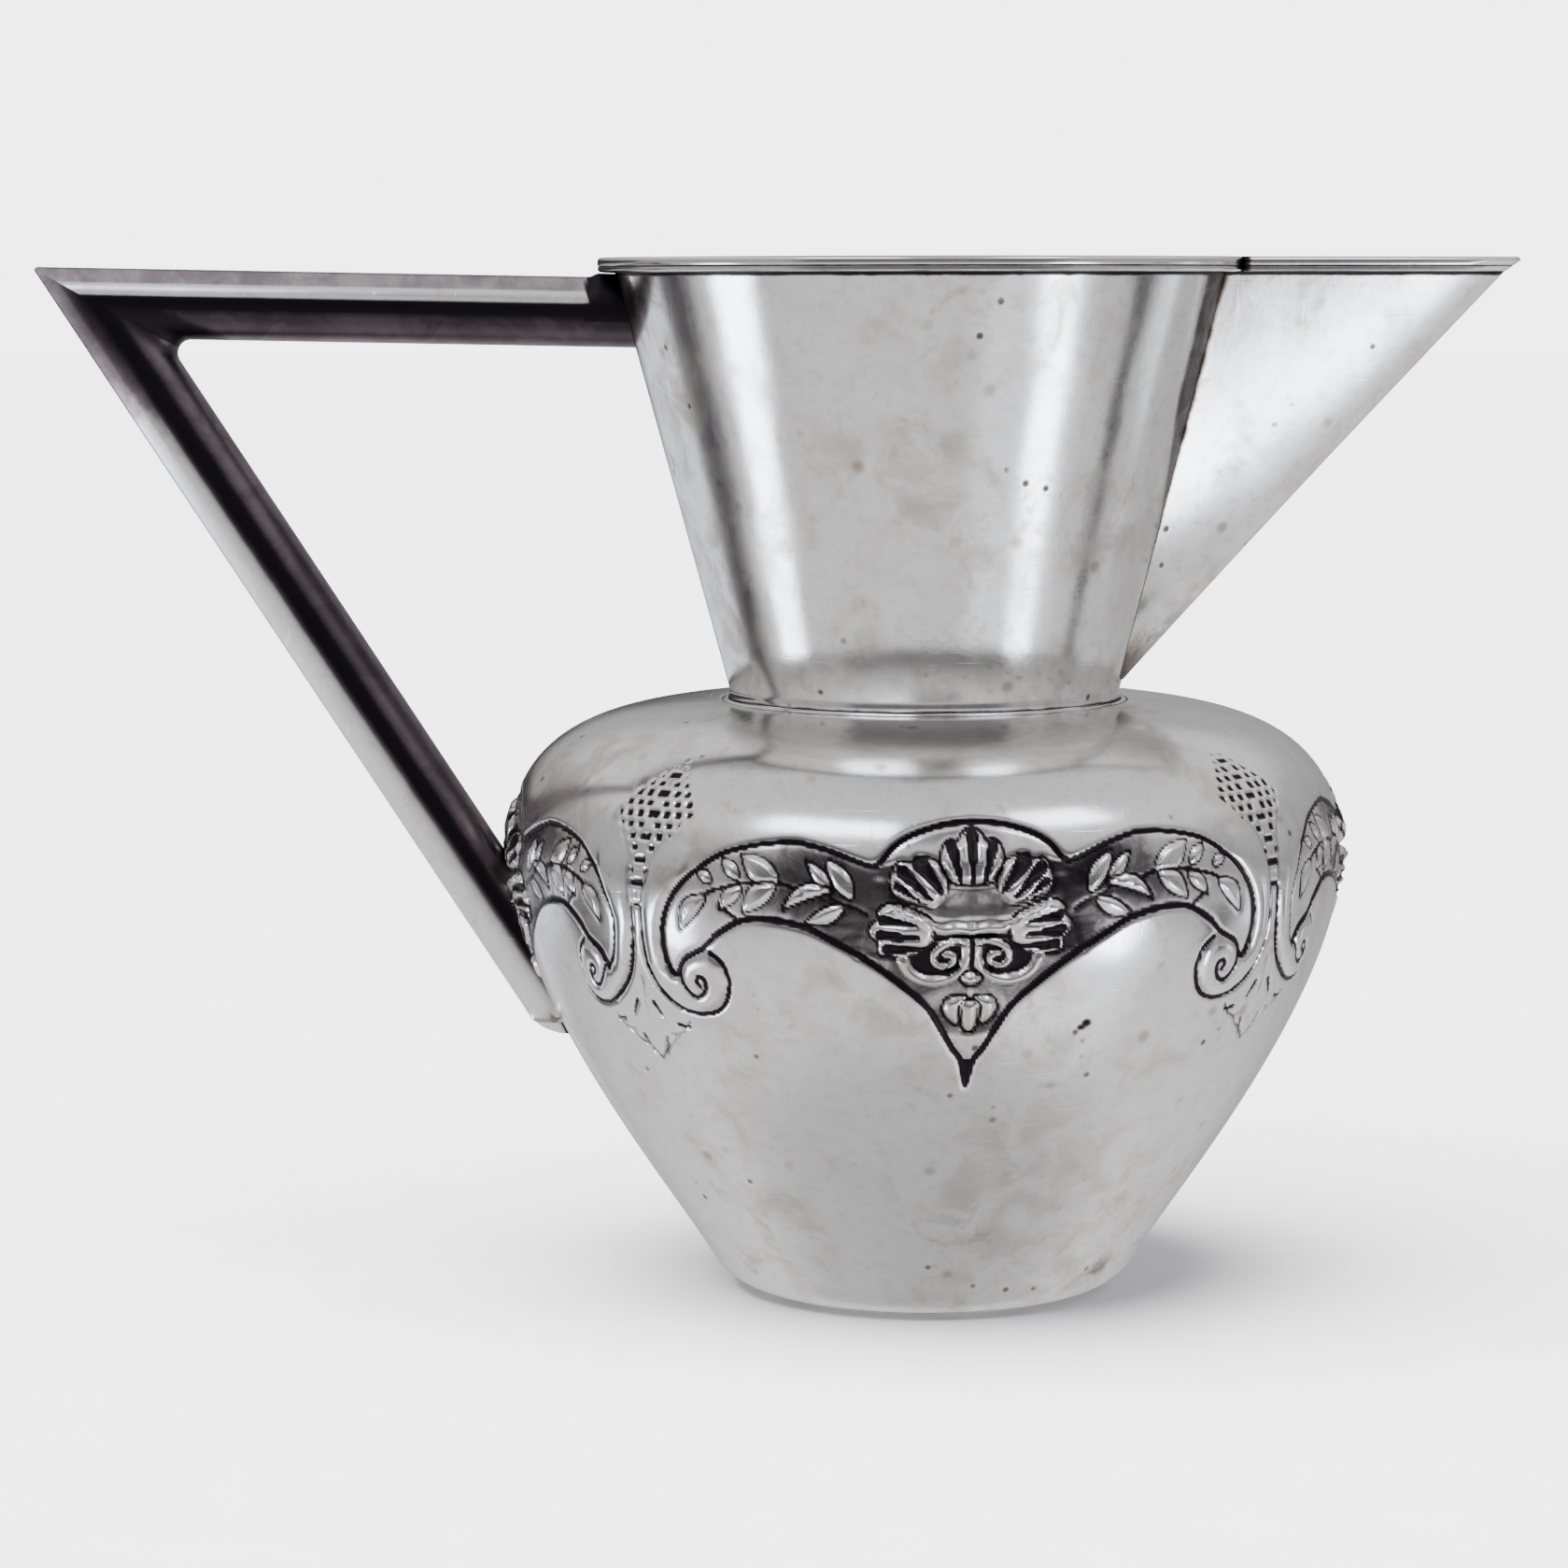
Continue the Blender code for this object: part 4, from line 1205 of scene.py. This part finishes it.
def arm_lines(angle, flip):
    """A start for each point of the section, the arm's direction, and the way inward from it."""
    x, z = direction(angle)
    inward = np.array([z, 0.0, -x]) * flip
    across, depth = handle_section().T
    starts = TIP_CORNER + depth[:, None] * inward
    starts[:, 1] = across
    return starts, np.array([x, 0.0, z]), inward


def mitre_reach(starts, along):
    """How far along its line each point meets the plane that both arms are mitred to."""
    normal = np.array([-math.sin(MITRE_ANGLE), 0.0, math.cos(MITRE_ANGLE)])
    return (TIP_CORNER - starts) @ normal / (along @ normal)


def corner_fillet(travelled, depth, along, inward):
    """How points near the inner corner move, so that the two arms meet in a small radius."""
    half_angle = (TOP_ARM_ANGLE - DIAGONAL_ANGLE) / 2
    tangent = CORNER_FILLET / math.tan(half_angle)
    first = (CORNER_FILLET / math.sin(half_angle) - CORNER_FILLET) * math.cos(half_angle)
    near = np.clip(travelled, 0, tangent)
    reached = first + near * (tangent - first) / tangent
    aside = CORNER_FILLET - np.sqrt(CORNER_FILLET**2 - (tangent - reached) ** 2)
    weight = ramp(depth, SECTION_DEPTH - 4.5, SECTION_DEPTH - 0.6) * (travelled < tangent)
    forward = weight * (reached - near)
    return forward[..., None] * along + (weight * aside)[..., None] * inward


def soften_tip(rings):
    """Round off the sharp end of the handle where its two outer faces meet."""
    inward = np.array([math.cos(MITRE_ANGLE), 0.0, math.sin(MITRE_ANGLE)])
    depth = (rings - TIP_CORNER) @ inward
    push = np.clip(TIP_ROUNDING - depth, 0, None) * 0.85
    return rings + push[..., None] * inward


def arm_rings(angle, flip, reach_of, steps):
    """An arm's rings, their points' depths, and each line's way from the mitre to its end."""
    starts, along, inward = arm_lines(angle, flip)
    first = mitre_reach(starts, along)
    last = np.array([reach_of(start, along) for start in starts])
    gone = (last - first) * steps[:, None]
    depth = handle_section()[:, 1][None, :]
    rings = starts + (first + gone)[..., None] * along
    return rings + corner_fillet(gone, depth, along, inward), depth, first, last


def neck_reach(start, along):
    """How far along a line a point of the upper arm runs until it is in the neck's wall."""
    reach = 60.0
    for _ in range(40):
        point = start + along * reach
        wall = neck_radius(point[2]) - 0.5
        reach += -math.sqrt(max(wall**2 - point[1] ** 2, 1.0)) - point[0]
    return reach


def make_top_arm(material):
    """The level arm, from the mitre to the neck under its flange."""
    steps = [np.linspace(0, 0.07, 15), np.linspace(0.08, 0.93, 72), np.linspace(0.934, 1, 24)]
    steps = np.concatenate(steps)
    rings, depth, first, last = arm_rings(TOP_ARM_ANGLE, 1, neck_reach, steps)
    # Bands across the section, partly tarnish and partly painted reflection: grey on the outer face,
    # clean along the facet's lower edge, near black below it as a painted reflection of the dark room,
    # lighter further in as a painted reflection of the table.
    tarnish_and_reflection_bands = 0.44 * ramp(depth, 3.1, 2.6) + 1.06 * ramp(depth, 4.5, 5.2)
    tarnish_and_reflection_bands = tarnish_and_reflection_bands - 0.40 * ramp(depth, 6.2, 7.8) - 0.12 * ramp(depth, 9.0, 11.0)
    ragged = rings[..., 0] + 0.4 * np.sin(0.9 * depth)
    # Painted shadow under the flange on the arm's end by the neck.
    arm_shadow = ramp(ragged, ARM_SHADOW_START, ARM_SHADOW_START + 1.4) * ramp(depth, 9.0, 7.5)
    under_rim = ramp(rings[..., 0], -RIM_HIGH[1] - 1.5, -RIM_HIGH[1] + 0.4)
    rings[..., 2] += SOLDER_RISE * under_rim * ramp(depth, 6.0, 0.5)
    # Darker near the mitre on the inner side.
    corner = ramp((last - first) * steps[:, None], 22, 8) * ramp(depth, 3, 8)
    stain_and_shade = np.maximum(np.maximum(tarnish_and_reflection_bands, arm_shadow), 0.8 * corner)
    finish = ("handle_top_arm", "handle_silver", material)
    return swept("handle_upper_arm", soften_tip(rings), finish, 40.0, stain_and_shade)


def bowl_reach(start, along):
    """How far along a line a point of the lower arm runs: to the toe, or into the bowl's wall."""
    to_toe = (TOE_TOP + 0.05 - start[2]) / along[2]
    for reach in np.arange(100.0, 200.0, 0.1):
        point = start + along * reach
        if point[2] < SHOULDER_TOP:
            if math.hypot(point[0], point[1]) < bowl_radius(point[2]) - 0.5:
                return min(to_toe, reach)
    return min(to_toe, 200.0)


def make_diagonal_arm(material):
    """The raking arm, from the mitre down to the bowl."""
    steps = [np.linspace(0, 0.05, 15), np.linspace(0.06, 0.97, 105), np.linspace(0.972, 1, 14)]
    steps = np.concatenate(steps)
    rings, depth, first, last = arm_rings(DIAGONAL_ANGLE, -1, bowl_reach, steps)
    to_end = (last - first) * (1 - steps[:, None])
    flare = SOLDER_FLARE * np.exp(-to_end / SOLDER_REACH) * (last < last.max() - 0.5)
    rings[..., 1] += flare * np.sign(handle_section()[:, 0])
    # Partly tarnish and partly painted reflection: light on the outer part, near black past a line that
    # follows the mirrored horizon and a little lighter further in; darker near the mitre, and lighter on
    # the outer part close to the bowl.
    travelled = first + (last - first) * steps[:, None]
    share = travelled / travelled.max()
    edge = 5.6 + 1.2 * share
    stain_and_shade = 0.84 * ramp(depth, edge - 2.6, edge + 0.4) - 0.26 * ramp(depth, 7.6, 9.4)
    near_tip = ramp(share, 0.40, 0.08)
    stain_and_shade = np.maximum(stain_and_shade, near_tip * (0.56 + 0.12 * ramp(depth, 1.0, 5.0)))
    stain_and_shade *= 1 - 0.9 * ramp(to_end, 5.0, 1.0) * ramp(depth, 9.0, 6.0)
    finish = ("handle_diagonal_arm", "handle_silver", material)
    return swept("handle_raking_arm", soften_tip(rings), finish, 40.0, stain_and_shade)


def make_toe_cap(material):
    """The piece that closes the raking arm's lower end, with its outer corner rounded."""
    starts, along, _ = arm_lines(DIAGONAL_ANGLE, -1)
    levels = np.concatenate([[TOE_TOP - 0.05], np.linspace(TOE_TOP - 0.3, TOE, 8)])
    rings = []
    for level in levels:
        reach = (level - starts[:, 2]) / along[2]
        ring = starts + reach[:, None] * along
        below = np.clip(TOE + TOE_ROUNDING - level, 0, TOE_ROUNDING)
        inset = TOE_ROUNDING - math.sqrt(max(TOE_ROUNDING**2 - below**2, 0))
        ring[:, 0] = np.maximum(ring[:, 0], ring[:, 0].min() + inset)
        wall = bowl_radius(level) - 0.4
        inside = np.hypot(ring[:, 0], ring[:, 1]) < wall
        ring[inside, 0] = -np.sqrt(wall**2 - ring[inside, 1] ** 2)
        rings.append(ring)
    rings = np.array(rings)
    seam = ramp(np.hypot(rings[..., 0], rings[..., 1]) - bowl_radius(rings[..., 2]), 0.9, 0.1)
    finish = ("handle_toe_cap", "handle_silver", material)
    return swept("handle_toe", rings, finish, 40.0, 0.9 * seam)


# ---------------------------------------------------------------- stage


CAMERA_RIGHT = 1.0 * MM
CAMERA_DISTANCE = 867.8 * MM
CAMERA_HEIGHT = 184.9 * MM
CAMERA_PITCH = math.radians(6.045)
CAMERA_ROLL = math.radians(-0.078)
CAMERA_LENS = 108.08
FLOOR_REACH = 12.0
BACKDROP_LEVEL = 4.6
SKY_STRENGTH = 15.0
WALL_COLOUR = (0.98, 0.97, 1.0, 1)
SOFTBOX_COLOUR = (0.82, 0.89, 1.0, 1)
BACKDROP_COLOUR = (1.0, 1.0, 1.0, 1)


def make_camera():
    """A camera a little under the rim's height, tipped down to the middle of the pitcher."""
    low, high = (Vector(corner) for corner in cad_bounds)
    data = bpy.data.cameras.new("camera")
    data.lens = CAMERA_LENS
    data.sensor_width = 36.0
    data.clip_end = 50.0
    camera = bpy.data.objects.new("camera", data)
    bpy.context.scene.collection.objects.link(camera)
    forward = Vector((0, math.cos(CAMERA_PITCH), -math.sin(CAMERA_PITCH)))
    upward = Vector((0, math.sin(CAMERA_PITCH), math.cos(CAMERA_PITCH)))
    right = Vector((1, 0, 0)) * math.cos(CAMERA_ROLL) + upward * math.sin(CAMERA_ROLL)
    upward = right.cross(forward)
    turn = Matrix((right, upward, -forward)).transposed().to_4x4()
    place = Vector(((low.x + high.x) / 2 + CAMERA_RIGHT, -CAMERA_DISTANCE, CAMERA_HEIGHT))
    camera.matrix_world = Matrix.Translation(place) @ turn
    bpy.context.scene.camera = camera


def make_floor():
    """A wide pale floor, which the silver doesn't mirror: the room has its own pale table."""
    mesh = bpy.data.meshes.new("floor")
    signs = ((-1, -1), (1, -1), (1, 1), (-1, 1))
    mesh.from_pydata([(x * FLOOR_REACH, y * FLOOR_REACH, 0) for x, y in signs], [], [(0, 1, 2, 3)])
    floor = bpy.data.objects.new("floor", mesh)
    mesh.materials.append(stage_material("pale_paper", (0.84, 0.84, 0.85)))
    bpy.context.scene.collection.objects.link(floor)
    floor.location.z = -0.5 * MM
    floor.visible_glossy = False


# What the silver mirrors: (lowest level, brightness) steps from straight down to straight up,
# then soft lamps and dark screens as (azimuth, elevation, half width, half height, edge, level).
ROOM_LEVELS = (
    (-90, 0.55), (-66, 0.66), (-48, 1.05), (-34, 0.94), (-14, 0.60), (0, 0.40), (16, 0.50),
    (32, 0.92), (60, 0.84), (90, 0.74),
)
LAMPS = (
    (-82, -22, 4.5, 4, 7, 8.5),
    (53, -24, 3.5, 5, 7, 8.5),
    (-32, 41, 17, 3, 8, 5.0),
    (46, 47, 12, 4, 7, 4.6),
    (46, -40, 16, 9, 16, 0.55),
    (-145, -12, 18, 4, 8, 0.7),
    (104, -13, 3, 5, 4, 1.0),
)
SCREENS = (
    (0, 0, 40, 11, 14, 0.62),
    (6, 38, 12, 6, 8, 0.72),
    (-112, -20, 8, 7, 4, 0.8),
    (90, -20, 3, 6, 2.5, 0.86),
    (-150, 1, 28, 3, 5, 0.9),
    (-180, 72, 34, 14, 16, 0.6),
    (180, 72, 34, 14, 16, 0.6),
)


def room_patch(nodes, azimuth, elevation, patch):
    """A soft-edged rectangle of the room, from 0 outside to the patch's level inside."""
    middle, level, half_width, half_height, edge = (math.radians(value) for value in patch[:5])
    aside = nodes.calc("ABSOLUTE", nodes.calc("SUBTRACT", azimuth, middle))
    above = nodes.calc("ABSOLUTE", nodes.calc("SUBTRACT", elevation, level))
    across = nodes.span(aside, half_width + edge, half_width)
    upright = nodes.span(above, half_height + edge * 0.7, half_height)
    return nodes.times(nodes.times(across, upright), patch[5])


def room_light(nodes):
    """Brightness of the room's walls and of its lamps, in every direction."""
    parts = nodes.add("ShaderNodeSeparateXYZ", {0: nodes.add("ShaderNodeTexCoord").outputs["Generated"]})
    azimuth = nodes.calc("ARCTAN2", parts.outputs["X"], nodes.times(parts.outputs["Y"], -1.0))
    elevation = nodes.calc("ARCSINE", parts.outputs["Z"])
    share = nodes.calc("MULTIPLY_ADD", elevation, 1 / math.pi, 0.5)
    levels = nodes.add("ShaderNodeValToRGB", {"Fac": share})
    stops = levels.color_ramp
    stops.interpolation = "EASE"
    while len(stops.elements) < len(ROOM_LEVELS):
        stops.elements.new(0.5)
    for element, (level, brightness) in zip(stops.elements, ROOM_LEVELS):
        element.position = (level + 90) / 180
        element.color = (brightness, brightness, brightness, 1)
    light = levels.outputs["Color"]
    for screen in SCREENS:
        shade = room_patch(nodes, azimuth, elevation, screen)
        light = nodes.times(light, nodes.calc("SUBTRACT", 1.0, shade))
    glow = 0.0
    for lamp in LAMPS:
        glow = nodes.calc("ADD", room_patch(nodes, azimuth, elevation, lamp), glow)
    return light, glow


def make_world():
    """A room for the silver to mirror, and a plain bright backdrop for the camera."""
    world = bpy.data.worlds.new("studio")
    bpy.context.scene.world = world
    world.use_nodes = True
    world.node_tree.nodes.clear()
    nodes = Nodes(world.node_tree)
    light, glow = room_light(nodes)
    shaders = []
    for colour, strength in ((WALL_COLOUR, light), (SOFTBOX_COLOUR, glow),
                             (BACKDROP_COLOUR, BACKDROP_LEVEL)):
        inputs = {"Color": colour, "Strength": strength}
        shaders.append(nodes.add("ShaderNodeBackground", inputs).outputs[0])
    room = nodes.add("ShaderNodeAddShader", {0: shaders[0], 1: shaders[1]}).outputs[0]
    seen = nodes.add("ShaderNodeLightPath").outputs["Is Camera Ray"]
    either = nodes.add("ShaderNodeMixShader", {0: seen, 1: room, 2: shaders[2]}).outputs[0]
    nodes.add("ShaderNodeOutputWorld", {"Surface": either})


def make_lights():
    """One broad overhead light for the floor. The silver mirrors the room instead."""
    data = bpy.data.lights.new("overhead", "SUN")
    data.energy = SKY_STRENGTH
    data.angle = math.radians(60)
    lamp = bpy.data.objects.new("overhead", data)
    lamp.rotation_euler = (math.radians(12), math.radians(-10), 0)
    lamp.visible_glossy = False
    bpy.context.scene.collection.objects.link(lamp)


def main():
    make_camera()
    make_floor()
    make_world()
    make_lights()
    chased = silver("chased_silver_metal", polish=0.17, tarnish=0.8, pits=0.9, scratches=0.4,
                    wave=0.25)
    make_bowl(chased)
    worn = silver("worn_silver_metal", polish=0.26, tarnish=0.9, pits=0.9, scratches=1.0,
                  wave=0.3, darken_by_attribute=False)
    make_base_plate(worn)
    neck = silver("neck_silver_metal", polish=0.14, tarnish=1.0, pits=1.0, scratches=0.15,
                  wave=0.35)
    make_neck(neck)
    spout = silver("spout_silver_metal", polish=0.17, tarnish=1.3, pits=1.0, scratches=0.15,
                   wave=0.4, tint=(0.38, 0.29, 0.22))
    make_spout(spout)
    rim = silver("rim_silver_metal", polish=0.15, tarnish=0.4, pits=0.3, scratches=0.3, wave=0.1)
    make_neck_rim(rim)
    make_spout_rim(rim)
    # The tint is the purple-brown of the handle's tarnish and painted reflection bands.
    handle = silver("handle_silver_metal", polish=0.19, tarnish=0.5, pits=0.3, scratches=0.3,
                    wave=0.2, tint=(0.23, 0.18, 0.20), patchy=0.03)
    make_top_arm(handle)
    make_diagonal_arm(handle)
    toe = silver("toe_silver_metal", polish=0.2, tarnish=0.5, pits=0.4, scratches=0.3, wave=0.2)
    make_toe_cap(toe)


main()
